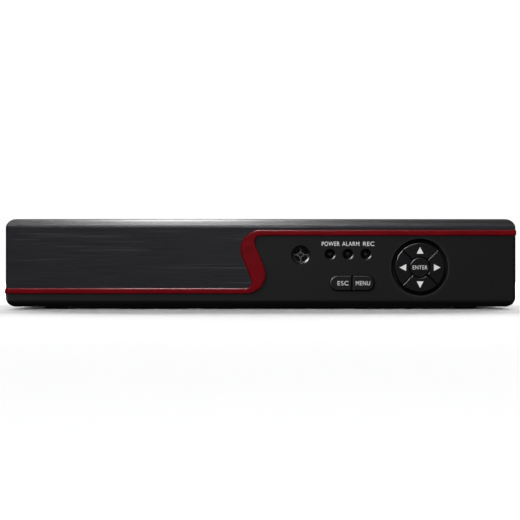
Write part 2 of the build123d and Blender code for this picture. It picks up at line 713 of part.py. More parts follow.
def fan_fixings():
    """The fan's four screw places."""
    half = FAN_HOLE_PITCH / 2
    return [(FAN_X + sx * half, FAN_UP + sz * half) for sx in (-1, 1) for sz in (-1, 1)]


def fan_grille():
    """The open part of the rear panel behind the fan: three rings crossed by four bars."""
    rings = Sketch()
    for n in range(3):
        inner = GRILLE_FIRST + n * (GRILLE_RING + GRILLE_BAR)
        rings += Circle(inner + GRILLE_RING) - Circle(inner)
    bars = Rectangle(2 * FAN_SIZE, GRILLE_BAR) + Rectangle(GRILLE_BAR, 2 * FAN_SIZE)
    return Pos(FAN_X, FAN_UP) * (rings - Rot(0, 0, 45) * bars)


HD_WIDTH = 15.0
HD_HEIGHT = 6.2
USB_WIDTH = 13.8
USB_HEIGHT = 15.6
LAN_WIDTH = 16.0
LAN_HEIGHT = 13.6
DC_WIDTH = 9.2
DC_HEIGHT = 11.2


def socket_cutouts():
    """The rectangular windows that the sockets stand in, as (middle x, width, height)."""
    return (
        (HD_X, HD_WIDTH, HD_HEIGHT),
        (USB_X, USB_WIDTH, USB_HEIGHT),
        (LAN_X, LAN_WIDTH, LAN_HEIGHT),
        (DC_X, DC_WIDTH, DC_HEIGHT),
    )


def display_outline(grow):
    """The D of the display socket, wider at its top, grown all round."""
    top, bottom, half = 8.4 + grow, 7.0 + grow, 4.1 + grow
    corners = Polyline((-bottom, -half), (bottom, -half), (top, half), (-top, half), close=True)
    face = make_face(corners)
    return fillet(face.vertices(), 1.6)


def drive_vents():
    """Slots in the tray's floor under the drive, as (x, y) middles."""
    pitch = 8.0
    first = DRIVE_X - pitch * (FLOOR_VENT_COUNT - 1) / 2
    return [(first + n * pitch, (DRIVE_FRONT + DRIVE_REAR) / 2 - 22.0) for n in range(FLOOR_VENT_COUNT)]


def board_vents():
    """Slots in the tray's floor under the main board, as (x, y) middles."""
    pitch = 8.0
    middle = (MAIN_LEFT + MAIN_RIGHT) / 2 + FLOOR_VENT_SHIFT
    first = middle - pitch * (FLOOR_VENT_COUNT - 1) / 2
    return [(first + n * pitch, MAIN_FRONT + 46.0) for n in range(FLOOR_VENT_COUNT)]


def bottom_tray():
    """The folded tray: floor, side flanges, front wall and rear panel, with pressed-up stands."""
    wall_back = FRONT_WALL + SHEET
    tray = block(-TRAY_HALF, TRAY_HALF, FRONT_WALL, REAR, TRAY_LOW, FLOOR_TOP)
    for side in (-1, 1):
        x = sorted((side * TRAY_HALF, side * (TRAY_HALF - SHEET)))
        tray += block(*x, FRONT_WALL, REAR, TRAY_LOW, TRAY_LOW + FLANGE_HEIGHT)
    bends = [edge for edge in tray.edges().filter_by(Axis.Y) if abs(edge.center().X) > TRAY_HALF - 0.1]
    tray = fillet([edge for edge in bends if edge.center().Z < TRAY_LOW + 0.1], BEND_RADIUS)
    tray += block(-TRAY_HALF, TRAY_HALF, WALL_INSIDE, REAR, TRAY_LOW, TRAY_HIGH)
    front_high = BEZEL_HIGH - BEZEL_WALL - SHEET_GAP - 1.0
    wall_half = TRAY_HALF - BEND_RADIUS
    tray += block(-wall_half, wall_half, FRONT_WALL, wall_back, TRAY_LOW, front_high)
    for x, y in board_fixings():
        tray += post(x, y, STANDOFF_RADIUS, TRAY_LOW, BOARD_LOW)
    for x, y in drive_fixings():
        tray += post(x, y, STAND_RADIUS, TRAY_LOW, DRIVE_LOW)
    for x, y in board_fixings():
        tray -= post(x, y, M3_RADIUS + THREAD_CLEARANCE, TRAY_LOW - 1, BOARD_LOW + 1)
    for x, y in drive_fixings():
        tray -= post(x, y, M3_RADIUS + M3_CLEARANCE, TRAY_LOW - 1, DRIVE_LOW + 1)
        tray -= post(x, y, STAND_RADIUS - SHEET, TRAY_LOW - 1, DRIVE_LOW - SHEET)
    for x, z in bezel_fixings():
        tray -= rod(x, z, M3_RADIUS + M3_CLEARANCE, FRONT_WALL - 1, wall_back + 1)
    middle_z = (FLOOR_TOP + front_high) / 2
    drive_window = Pos(DRIVE_X, middle_z) * RectangleRounded(72.0, 24.0, 3.0)
    cable_window = Pos(RIBBON_X, middle_z) * RectangleRounded(54.0, 24.0, 3.0)
    tray -= slab(drive_window, FRONT_WALL - 1, wall_back + 1)
    tray -= slab(cable_window, FRONT_WALL - 1, wall_back + 1)
    for y in side_screw_places():
        for side in (-1, 1):
            hole = Cylinder(M3_RADIUS + THREAD_CLEARANCE, 4 * SHEET)
            tray -= Pos(side * TRAY_HALF, y, SCREW_SIDE_Z) * Rot(0, 90, 0) * hole
    for x in lip_screw_places():
        tray -= rod(x, LIP_SCREW_Z, M3_RADIUS + THREAD_CLEARANCE, WALL_INSIDE - 1, REAR + 1)
    for x, z in bnc_places():
        tray -= rod(x, z, BNC_RADIUS + CUTOUT_GAP, WALL_INSIDE - 1, REAR + 1)
    for x, z in rca_places():
        tray -= rod(x, z, RCA_RADIUS + CUTOUT_GAP, WALL_INSIDE - 1, REAR + 1)
    display = Pos(DISPLAY_X, BOARD_TOP + DISPLAY_RISE) * display_outline(CUTOUT_GAP)
    tray -= slab(display, WALL_INSIDE - 1, REAR + 1)
    for x, z in display_nut_places():
        tray -= rod(x, z, DISPLAY_STUD_RADIUS + DISPLAY_STUD_GAP, WALL_INSIDE - 1, REAR + 1)
    for x, width, height in socket_cutouts():
        half = width / 2 + CUTOUT_GAP
        top = BOARD_TOP + height + CUTOUT_GAP
        tray -= block(x - half, x + half, WALL_INSIDE - 1, REAR + 1, BOARD_TOP - CUTOUT_GAP, top)
    tray -= slab(fan_grille(), WALL_INSIDE - 1, REAR + 1)
    for x, z in fan_fixings():
        tray -= rod(x, z, M3_RADIUS + M3_CLEARANCE, WALL_INSIDE - 1, REAR + 1)
    floor_slot = SlotOverall(FLOOR_VENT_LENGTH, 3.0, rotation=90)
    slots = [Pos(x, y) * floor_slot for x, y in drive_vents() + board_vents()]
    tray -= extrude(Pos(0, 0, TRAY_LOW - 1) * (Sketch() + slots), amount=3 * SHEET)
    return tray


def side_vents():
    """Upright slots for one side of the cover, seen from that side: (along Y, up)."""
    middle = (COVER_FRONT + REAR) / 2
    first = middle - VENT_PITCH * (VENT_COUNT - 1) / 2
    slot = SlotOverall(VENT_HEIGHT, VENT_WIDTH, rotation=90)
    up = TRAY_LOW + FLANGE_HEIGHT + 4.0 + VENT_HEIGHT / 2
    return Sketch() + [Pos(first + n * VENT_PITCH, up) * slot for n in range(VENT_COUNT)]


def top_cover():
    """The folded cover: top, two sides with vents, and a lip over the rear panel."""
    back = REAR + SHEET_GAP + SHEET
    outer = block(-COVER_HALF, COVER_HALF, COVER_FRONT, back, TRAY_LOW, COVER_TOP)
    corners = [e for e in outer.edges().filter_by(Axis.Y) if e.center().Z > TRAY_LOW + SHEET]
    outer = fillet(corners, 1.5)
    inner_half = COVER_HALF - SHEET
    hollow = block(
        -inner_half, inner_half, COVER_FRONT - 1, REAR + SHEET_GAP, TRAY_LOW - 1, COVER_TOP - SHEET
    )
    corners = [e for e in hollow.edges().filter_by(Axis.Y) if e.center().Z > TRAY_LOW]
    cover = outer - fillet(corners, 0.5)
    lip_low = COVER_TOP - COVER_LIP
    cover -= block(-inner_half, inner_half, REAR, back + 1, TRAY_LOW - 1, lip_low)
    cover -= block(-COVER_HALF - 1, COVER_HALF + 1, REAR, back + 1, TRAY_LOW - 1, lip_low)
    across = Plane(origin=(-COVER_HALF - 1, 0, 0), x_dir=(0, 1, 0), z_dir=(1, 0, 0))
    cover -= extrude(across * side_vents(), amount=COVER_WIDTH + 2)
    for y in side_screw_places():
        hole = Cylinder(M3_RADIUS + M3_CLEARANCE, COVER_WIDTH + 4)
        cover -= Pos(0, y, SCREW_SIDE_Z) * Rot(0, 90, 0) * hole
    for x in lip_screw_places():
        cover -= rod(x, LIP_SCREW_Z, M3_RADIUS + M3_CLEARANCE, REAR, back + 1)
    return cover


def rubber_feet():
    """Four stuck-on feet, a little narrower at the table, with a dished middle."""
    pieces = []
    for x, y in foot_places():
        foot = Pos(x, y, FOOT_HEIGHT / 2) * Cone(FOOT_RADIUS - 1.0, FOOT_RADIUS, FOOT_HEIGHT)
        foot = fillet(foot.faces().sort_by(Axis.Z)[0].edges(), 0.6)
        foot -= post(x, y, FOOT_RADIUS * 0.45, -1, 1.2)
        pieces.append(foot)
    return group(pieces)


def cover_screws():
    """Two screws in each side of the cover and three in its rear lip."""
    pieces = []
    for y in side_screw_places():
        for side in (-1, 1):
            screw = screw_y(0, 0, 0, SIDE_SCREW_LENGTH, 1)
            pieces.append(turn_to_x(screw, side * COVER_HALF, y, SCREW_SIDE_Z, side))
    lip_face = REAR + SHEET_GAP + SHEET
    for x in lip_screw_places():
        pieces.append(screw_y(x, LIP_SCREW_Z, lip_face, SCREW_LENGTH, 1))
    return group(pieces)


def bezel_screws():
    """Six screws through the tray's front wall into the front's bosses."""
    pieces = []
    head_face = FRONT_WALL + SHEET
    for x, z in bezel_fixings():
        head = rod(x, z, SCREW_HEAD_RADIUS, head_face, head_face + 1.6)
        shank = rod(x, z, PILOT_RADIUS - THREAD_CLEARANCE, head_face - 7.5, head_face)
        pieces.append(head + shank)
    return group(pieces)


# ---- the main board ----
def main_board():
    """The main circuit board with its screw holes."""
    board = block(MAIN_LEFT, MAIN_RIGHT, MAIN_FRONT, MAIN_REAR, BOARD_LOW, BOARD_TOP)
    for x, y in board_fixings():
        board -= post(x, y, M3_RADIUS + M3_CLEARANCE, BOARD_LOW - 1, BOARD_TOP + 1)
    return board


def board_screws():
    """The main board's screws, heads up."""
    screw = screw_y(0, 0, 0, SCREW_LENGTH, -1)
    return group([turn_to_z(screw, x, y, BOARD_TOP, -1) for x, y in board_fixings()])


CHIP_X = MAIN_LEFT + 68.5
CHIP_Y = MAIN_FRONT + 55.0
CHIP_SIDE = 24.0
CHIP_HEIGHT = 1.8
SINK_SIDE = 36.0
SINK_HEIGHT = 12.0


def processor():
    """The video processor under the heat sink."""
    half = CHIP_SIDE / 2
    return block(CHIP_X - half, CHIP_X + half, CHIP_Y - half, CHIP_Y + half, BOARD_TOP, BOARD_TOP + CHIP_HEIGHT)


def heat_sink():
    """A finned aluminium block on the processor."""
    half = SINK_SIDE / 2
    low = BOARD_TOP + CHIP_HEIGHT
    sink = block(CHIP_X - half, CHIP_X + half, CHIP_Y - half, CHIP_Y + half, low, low + SINK_HEIGHT)
    fins = 9
    pitch = SINK_SIDE / fins
    for n in range(1, fins):
        x = CHIP_X - half + n * pitch
        sink -= block(x - 1.1, x + 1.1, CHIP_Y - half - 1, CHIP_Y + half + 1, low + 2.5, low + SINK_HEIGHT + 1)
    return sink


def logic_chips():
    """Memory beside the processor and one video decoder for each pair of inputs."""
    pieces = []
    for n in range(4):
        x = CHIP_X + 32.0 + (n % 2) * 13.0
        y = CHIP_Y - 8.0 + (n // 2) * 17.0
        pieces.append(block(x - 4.5, x + 4.5, y - 6.5, y + 6.5, BOARD_TOP, BOARD_TOP + 1.1))
    for n in range(BNC_COLUMNS):
        x = BNC_X - n * BNC_PITCH_X
        y = MAIN_REAR - 60.0
        pieces.append(block(x - 5.0, x + 5.0, y - 5.0, y + 5.0, BOARD_TOP, BOARD_TOP + 1.1))
    return group(pieces)


def filter_capacitors():
    """Upright capacitors in a row by the power jack."""
    pieces = []
    for n in range(6):
        x = DC_X - 2.0 - 11.0 * (n % 3)
        y = MAIN_REAR - 26.0 - 12.0 * (n // 3)
        can = post(x, y, 4.0, BOARD_TOP, BOARD_TOP + 11.5)
        pieces.append(fillet(can.faces().sort_by(Axis.Z)[-1].edges(), 0.6))
    return group(pieces)


def coin_cell():
    """The clock's button cell, lying in its clip on the board."""
    x, y = MAIN_LEFT + 24.0, MAIN_FRONT + 36.0
    clip = block(x - 3.0, x + 3.0, y - 11.5, y + 11.5, BOARD_TOP, BOARD_TOP + 0.8)
    return group([clip, post(x, y, 10.0, BOARD_TOP + 0.8, BOARD_TOP + 4.0)])


# ---- the rear sockets ----
BNC_FACE = WALL_INSIDE - 0.3
BNC_TIP = REAR + BNC_REACH
BNC_HOUSING = 16.0


def bnc_blocks():
    """The moulded housings behind the rear panel, one for each column of inputs."""
    pieces = []
    high = BOARD_TOP + BNC_RISE + BNC_PITCH_Z * (BNC_ROWS - 1) + 7.4
    for n in range(BNC_COLUMNS):
        x = BNC_X - n * BNC_PITCH_X
        housing = block(x - 7.2, x + 7.2, BNC_FACE - BNC_HOUSING, BNC_FACE, BOARD_TOP, high)
        pieces.append(housing)
    return group(pieces)


def bnc_shells():
    """The plated bayonet barrels of the video inputs, each with its two lugs."""
    pieces = []
    for x, z in bnc_places():
        barrel = rod(x, z, BNC_RADIUS, BNC_FACE, BNC_TIP)
        barrel = chamfer(barrel.faces().sort_by(Axis.Y)[-1].edges(), 0.35)
        barrel -= rod(x, z, BNC_RADIUS + 1, REAR + 3.6, REAR + 4.6) - rod(
            x, z, BNC_RADIUS - 0.35, REAR + 3.5, REAR + 4.7
        )
        lug = Cylinder(BNC_LUG_RADIUS, 2 * (BNC_RADIUS + BNC_LUG_REACH))
        barrel += Pos(x, BNC_TIP - 4.9, z) * lug
        barrel -= rod(x, z, BNC_BORE, BNC_FACE - 1, BNC_TIP + 1)
        pieces.append(barrel)
    return group(pieces)


def bnc_insulators():
    """The white insulator inside each video input."""
    pieces = []
    for x, z in bnc_places():
        base = rod(x, z, BNC_BORE - 0.05, BNC_FACE, REAR + 3.0)
        nose = rod(x, z, 2.45, REAR + 3.0, BNC_TIP - 2.4)
        pieces.append(base + nose - rod(x, z, 1.25, BNC_FACE - 1, BNC_TIP))
    return group(pieces)


def bnc_contacts():
    """The gilt centre contact of each video input."""
    pieces = []
    for x, z in bnc_places():
        contact = rod(x, z, 1.2, BNC_FACE, BNC_TIP - 2.9)
        pieces.append(contact - rod(x, z, 0.65, BNC_TIP - 9.0, BNC_TIP))
    return group(pieces)


def rca_block():
    """The moulded housing of the two audio jacks, with the round insulator of each."""
    high = BOARD_TOP + RCA_RISE + RCA_PITCH + 6.0
    housing = block(RCA_X - 5.4, RCA_X + 5.4, BNC_FACE - 13.0, BNC_FACE, BOARD_TOP, high)
    for x, z in rca_places():
        housing += rod(x, z, RCA_RADIUS - RCA_WALL - 0.05, BNC_FACE - 1, REAR + RCA_REACH - 1.0)
        housing -= rod(x, z, RCA_BORE, REAR - 1.0, REAR + RCA_REACH)
    return housing


def rca_rings():
    """The plated sleeves of the two audio jacks."""
    pieces = []
    for x, z in rca_places():
        ring = rod(x, z, RCA_RADIUS, BNC_FACE, REAR + RCA_REACH)
        pieces.append(ring - rod(x, z, RCA_RADIUS - RCA_WALL, BNC_FACE - 1, REAR + RCA_REACH + 1))
    return group(pieces)


DISPLAY_REACH = 5.2
DISPLAY_FLANGE_WIDTH = 30.8
DISPLAY_FLANGE_HEIGHT = 12.4
DISPLAY_METAL = 0.5


def display_shell():
    """The plated D-shaped shell of the display socket on its flange."""
    z = BOARD_TOP + DISPLAY_RISE
    place = Pos(DISPLAY_X, z)
    flange = RectangleRounded(DISPLAY_FLANGE_WIDTH, DISPLAY_FLANGE_HEIGHT, 1.5)
    shell = slab(place * flange, BNC_FACE - 0.8, BNC_FACE)
    shell += slab(place * display_outline(0), BNC_FACE - 0.8, REAR + DISPLAY_REACH)
    shell -= slab(place * display_outline(-DISPLAY_METAL), BNC_FACE - 2, REAR + DISPLAY_REACH + 1)
    for x, nut_z in display_nut_places():
        shell -= rod(x, nut_z, DISPLAY_STUD_RADIUS + DISPLAY_STUD_GAP, BNC_FACE - 2, BNC_FACE + 1)
    return shell


def display_insert():
    """The coloured insert of the display socket with its fifteen contact holes."""
    z = BOARD_TOP + DISPLAY_RISE
    place = Pos(DISPLAY_X, z)
    insert = slab(place * display_outline(-DISPLAY_METAL - 0.05), BNC_FACE - 0.8, REAR + DISPLAY_REACH - 0.6)
    body = block(
        DISPLAY_X - 10.4, DISPLAY_X + 10.4, BNC_FACE - 11.0, BNC_FACE - 0.8, BOARD_TOP, z + 5.6
    )
    holes = Sketch()
    for row in range(3):
        for n in range(5):
            holes += Pos((n - 2) * 2.3 - (1.15 if row == 1 else 0), (row - 1) * 2.0) * Circle(0.55)
    insert -= slab(place * holes, REAR + DISPLAY_REACH - 4.6, REAR + DISPLAY_REACH)
    return insert + body


def display_nuts():
    """Two hexagon standoff nuts that a display cable's screws go into."""
    pieces = []
    across = DISPLAY_NUT_ACROSS / math.sqrt(3)
    for x, z in display_nut_places():
        nut = slab(Pos(x, z) * RegularPolygon(across, 6), REAR, REAR + DISPLAY_NUT_LENGTH)
        nut += rod(x, z, DISPLAY_STUD_RADIUS, BNC_FACE - 4.0, REAR)
        hole = rod(x, z, DISPLAY_THREAD_RADIUS, REAR, REAR + DISPLAY_NUT_LENGTH + 1)
        pieces.append(nut - hole)
    return group(pieces)


SOCKET_METAL = 0.4
SOCKET_BODY = 15.0


def socket_shell(x, width, height, openings):
    """A folded metal socket shell on the board, with its rectangular mouths looking to the rear."""
    half = width / 2
    front, back = BNC_FACE - SOCKET_BODY, REAR + SOCKET_STAND
    shell = block(x - half, x + half, front, back, BOARD_TOP, BOARD_TOP + height)
    for low, mouth_width, mouth_height in openings:
        m = mouth_width / 2
        z = BOARD_TOP + low
        shell -= block(x - m, x + m, front + SOCKET_METAL, back + 1, z, z + mouth_height)
    return shell


def hd_shell():
    """The small high-definition video socket's shell, its mouth narrower at the bottom."""
    shell = socket_shell(HD_X, HD_WIDTH, HD_HEIGHT, ((0.8, 14.1, 4.6),))
    wedge = Polyline((-8.0, 0.0), (-5.2, 0.0), (-7.0, 1.9), (-8.0, 1.9), close=True)
    for side in (0, 1):
        piece = make_face(wedge)
        piece = mirror(piece, Plane.YZ) if side else piece
        shell += slab(Pos(HD_X, BOARD_TOP) * piece, BNC_FACE - SOCKET_BODY, REAR + SOCKET_STAND) & block(
            HD_X - HD_WIDTH / 2,
            HD_X + HD_WIDTH / 2,
            BNC_FACE - SOCKET_BODY,
            REAR + SOCKET_STAND,
            BOARD_TOP,
            BOARD_TOP + HD_HEIGHT,
        )
    return shell


USB_MOUTHS = ((0.8, 12.6, 5.2), (9.6, 12.6, 5.2))


def usb_shell():
    """Two stacked data sockets in one shell."""
    return socket_shell(USB_X, USB_WIDTH, USB_HEIGHT, USB_MOUTHS)


def socket_tongues():
    """The contact tongues inside the data and video sockets."""
    root = BNC_FACE - SOCKET_BODY + SOCKET_METAL
    tip = REAR - 1.0
    pieces = []
    for low, width, height in USB_MOUTHS:
        z = BOARD_TOP + low + height - 2.2
        pieces.append(block(USB_X - width / 2 + 0.6, USB_X + width / 2 - 0.6, root, tip, z, z + 1.8))
    z = BOARD_TOP + 3.0
    pieces.append(block(HD_X - 5.4, HD_X + 5.4, root, tip, z, z + 1.0))
    return group(pieces)


LAN_MOUTH_WIDTH = 11.8
LAN_MOUTH_HEIGHT = 8.2
LAN_MOUTH_LOW = 2.2


def lan_shield():
    """The folded metal shield of the network socket."""
    half = LAN_WIDTH / 2
    front, back = BNC_FACE - SOCKET_BODY, REAR + SOCKET_STAND
    shield = block(LAN_X - half, LAN_X + half, front, back, BOARD_TOP, BOARD_TOP + LAN_HEIGHT)
    inner = half - SOCKET_METAL
    return shield - block(
        LAN_X - inner, LAN_X + inner, front + SOCKET_METAL, back + 1, BOARD_TOP - 1, BOARD_TOP + LAN_HEIGHT - SOCKET_METAL
    )


def lan_insert():
    """The plastic body of the network socket, with the stepped mouth for a latch plug."""
    half = LAN_WIDTH / 2 - SOCKET_METAL - 0.05
    front, back = BNC_FACE - SOCKET_BODY + SOCKET_METAL + 0.05, REAR + SOCKET_STAND - 0.3
    high = BOARD_TOP + LAN_HEIGHT - SOCKET_METAL - 0.05
    body = block(LAN_X - half, LAN_X + half, front, back, BOARD_TOP, high)
    m = LAN_MOUTH_WIDTH / 2
    low = BOARD_TOP + LAN_MOUTH_LOW
    body -= block(LAN_X - m, LAN_X + m, back - 12.0, back + 1, low, low + LAN_MOUTH_HEIGHT - 1.6)
    body -= block(LAN_X - 3.2, LAN_X + 3.2, back - 12.0, back + 1, low, low + LAN_MOUTH_HEIGHT)
    body -= block(LAN_X - 1.7, LAN_X + 1.7, back - 12.0, back + 1, low, low + LAN_MOUTH_HEIGHT + 1.3)
    return body


DC_BORE = 3.2
DC_PIN = 1.0


def dc_jack():
    """The power inlet: a moulded body with a round mouth and its centre pin."""
    half = DC_WIDTH / 2
    z = BOARD_TOP + DC_HEIGHT - 5.0
    back = REAR + SOCKET_STAND
    body = block(DC_X - half, DC_X + half, BNC_FACE - 13.0, back, BOARD_TOP, BOARD_TOP + DC_HEIGHT)
    body -= rod(DC_X, z, DC_BORE, back - 9.5, back + 1)
    pin = rod(DC_X, z, DC_PIN, back - 9.5, back - 0.8)
    pin = fillet(pin.faces().sort_by(Axis.Y)[-1].edges(), 0.5)
    return group([body, pin])


# ---- the drive ----
def drive_case():
    """The cast body of the hard-disk drive, with its rear socket and bottom screw holes."""
    half = DRIVE_WIDTH / 2
    high = DRIVE_LOW + DRIVE_HEIGHT - DRIVE_LID
    body = block(DRIVE_X - half, DRIVE_X + half, DRIVE_FRONT, DRIVE_REAR, DRIVE_LOW, high)
    body = fillet(body.edges().filter_by(Axis.Z), 3.0)
    board = 1.5
    body -= block(DRIVE_X - half + 14, DRIVE_X + half - 14, DRIVE_REAR - 70, DRIVE_REAR + 1, DRIVE_LOW - 1, DRIVE_LOW + board)
    body -= block(DRIVE_X - 20, DRIVE_X + 24, DRIVE_REAR - 6.0, DRIVE_REAR + 1, DRIVE_LOW + board, DRIVE_LOW + 8.0)
    for x, y in drive_fixings():
        body -= post(x, y, M3_RADIUS + THREAD_CLEARANCE, DRIVE_LOW - 1, DRIVE_LOW + 6.0)
    return body


def drive_lid():
    """The stamped lid of the drive."""
    half = DRIVE_WIDTH / 2 - 2.0
    low = DRIVE_LOW + DRIVE_HEIGHT - DRIVE_LID
    lid = block(DRIVE_X - half, DRIVE_X + half, DRIVE_FRONT + 4, DRIVE_REAR - 12, low, low + DRIVE_LID)
    lid = fillet(lid.edges().filter_by(Axis.Z), 6.0)
    groove = Circle(38.0) - Circle(36.5)
    return lid - extrude(Pos(DRIVE_X, DRIVE_FRONT + 48, low + 0.5) * groove, amount=1)


def drive_board():
    """The drive's own board on its underside, with the data and power tongues."""
    half = DRIVE_WIDTH / 2 - 14.3
    board = block(DRIVE_X - half, DRIVE_X + half, DRIVE_REAR - 69.5, DRIVE_REAR - 0.3, DRIVE_LOW + 0.2, DRIVE_LOW + 1.3)
    tongue = block(DRIVE_X - 18, DRIVE_X + 22, DRIVE_REAR - 5.7, DRIVE_REAR - 0.3, DRIVE_LOW + 1.3, DRIVE_LOW + 2.6)
    return board + tongue


def drive_screws():
    """Four screws from inside the hollow stands into the drive."""
    seat = DRIVE_LOW - SHEET
    screw = screw_y(0, 0, 0, SCREW_LENGTH, -1)
    return group([turn_to_z(screw, x, y, seat, 1) for x, y in drive_fixings()])


# ---- the fan ----
FAN_FRONT = WALL_INSIDE - FAN_DEPTH
FAN_BASE = 1.5


def fan_frame():
    """The square frame with its bore, and the motor base on three arms with the bearing tube."""
    place = Pos(FAN_X, FAN_UP)
    square = RectangleRounded(FAN_SIZE, FAN_SIZE, 2.5)
    frame = slab(place * (square - Circle(FAN_BORE)), FAN_FRONT, WALL_INSIDE)
    arms = Sketch() + [Rot(0, 0, 120 * n + 30) * Pos(FAN_BORE / 2 + 2, 0) * Rectangle(FAN_BORE, 2.4) for n in range(3)]
    base = place * ((arms & Circle(FAN_BORE + 0.5)) + Circle(FAN_HUB))
    frame += slab(base, FAN_FRONT, FAN_FRONT + FAN_BASE)
    frame += rod(FAN_X, FAN_UP, 2.6, FAN_FRONT, FAN_FRONT + 7.0)
    frame -= rod(FAN_X, FAN_UP, FAN_SHAFT + SHAFT_CLEARANCE, FAN_FRONT + 0.6, FAN_FRONT + 8.0)
    for x, z in fan_fixings():
        frame -= rod(x, z, M3_RADIUS + THREAD_CLEARANCE, FAN_FRONT - 1, WALL_INSIDE + 1)
    return frame


def fan_rotor():
    """The hub cup, its shaft and seven pitched blades."""
    front, back = FAN_FRONT + FAN_BASE + 0.6, WALL_INSIDE - 0.8
    hub = rod(FAN_X, FAN_UP, FAN_HUB - 0.3, front, back)
    hub = fillet(hub.faces().sort_by(Axis.Y)[-1].edges(), 0.8)
    hub -= rod(FAN_X, FAN_UP, FAN_HUB - 1.6, front - 1, back - 1.2)
    hub += rod(FAN_X, FAN_UP, FAN_SHAFT, FAN_FRONT + 1.0, back - 0.5)
    length = FAN_BLADE_TIP - FAN_HUB + 1.2
    middle = (FAN_BLADE_TIP + FAN_HUB - 1.2) / 2
    depth = (front + back) / 2
    rim = rod(FAN_X, FAN_UP, FAN_BLADE_TIP, front, back) - rod(FAN_X, FAN_UP, FAN_HUB - 0.8, front - 1, back + 1)
    for n in range(FAN_BLADES):
        blade = Rot(35, 0, 0) * Box(length, 1.1, 8.4)
        turned = Rot(0, 360 / FAN_BLADES * n, 0) * Pos(middle, 0, 0) * blade
        hub += Pos(FAN_X, depth, FAN_UP) * turned & rim
    return hub


def fan_screws():
    """The four screws that hold the fan to the rear panel, heads outside."""
    return group([screw_y(x, z, REAR, 8.0, 1) for x, z in fan_fixings()])


# ---- the leads between the drive and the main board ----
LEAD_RADIUS = 1.3
LEAD_LEVEL = DRIVE_LOW + 4.2
PLUG_LENGTH = 7.0
PLUG_HEIGHT = 5.2
PLUG_BITE = 1.0  # how far a lead runs into its moulded plugs
HEADER_X = MAIN_LEFT + 0.5
HEADER_LENGTH = 9.0
DATA_HEADER_INSET = 35.4  # from the main board's rear edge
POWER_HEADER_INSET = 22.9
DATA_PLUG_X = DRIVE_X - 12.0
DATA_PLUG_WIDTH = 11.0
POWER_PLUG_X = DRIVE_X + 9.0
POWER_PLUG_WIDTH = 23.0


def bend_radii(points):
    """The radius at each corner of a lead: as large as its two runs allow."""
    radii = []
    for before, corner, after in zip(points, points[1:], points[2:]):
        first = Vector(*corner) - Vector(*before)
        second = Vector(*after) - Vector(*corner)
        half_turn = math.radians(first.get_angle(second) / 2)
        radii.append(0.45 * min(first.length, second.length) / math.tan(half_turn))
    return radii


def lead(name, points, plug_x, plug_width, header_width):
    """A round lead with a moulded plug at the drive and another on the main board."""
    radii = bend_radii(points)
    print(name, "radii", [round(radius, 1) for radius in radii])
    route = FilletPolyline(*points, radius=radii)
    start = Plane(origin=route @ 0, z_dir=route % 0)
    cable = sweep(start * Circle(LEAD_RADIUS), path=route)
    low = LEAD_LEVEL - PLUG_HEIGHT / 2
    plug_back = DRIVE_REAR + PLUG_LENGTH
    half = plug_width / 2
    plug = block(plug_x - half, plug_x + half, DRIVE_REAR, plug_back, low, low + PLUG_HEIGHT)
    end = points[-1]
    header = block(
        HEADER_X,
        HEADER_X + HEADER_LENGTH,
        end[1] - header_width / 2,
        end[1] + header_width / 2,
        BOARD_TOP,
        end[2] + LEAD_RADIUS + 1.0,
    )
    return cable + plug + header


def data_lead():
    """The drive's data lead, over the power lead and down to the main board."""
    z = LEAD_LEVEL
    points = (
        (DATA_PLUG_X, DRIVE_REAR + PLUG_LENGTH - PLUG_BITE, z),
        (DATA_PLUG_X, DRIVE_REAR + PLUG_LENGTH + 17.5, z + 2.0),
        (DATA_PLUG_X + 24.0, DRIVE_REAR + PLUG_LENGTH + 18.5, z + 6.0),
        (MAIN_LEFT - 16.0, DRIVE_REAR + PLUG_LENGTH + 15.0, z + 7.0),
        (HEADER_X + PLUG_BITE, MAIN_REAR - DATA_HEADER_INSET, z + 3.5),
    )
    return lead("data_lead", points, DATA_PLUG_X, DATA_PLUG_WIDTH, 8.0)


def power_lead():
    """The drive's power lead, round its rear corner to the main board."""
    z = LEAD_LEVEL
    points = (
        (POWER_PLUG_X, DRIVE_REAR + PLUG_LENGTH - PLUG_BITE, z),
        (POWER_PLUG_X, DRIVE_REAR + PLUG_LENGTH + 17.5, z - 0.5),
        (MAIN_LEFT - 18.0, DRIVE_REAR + PLUG_LENGTH + 18.5, z),
        (HEADER_X + PLUG_BITE, MAIN_REAR - POWER_HEADER_INSET, z + 0.5),
    )
    return lead("power_lead", points, POWER_PLUG_X, POWER_PLUG_WIDTH, 10.0)


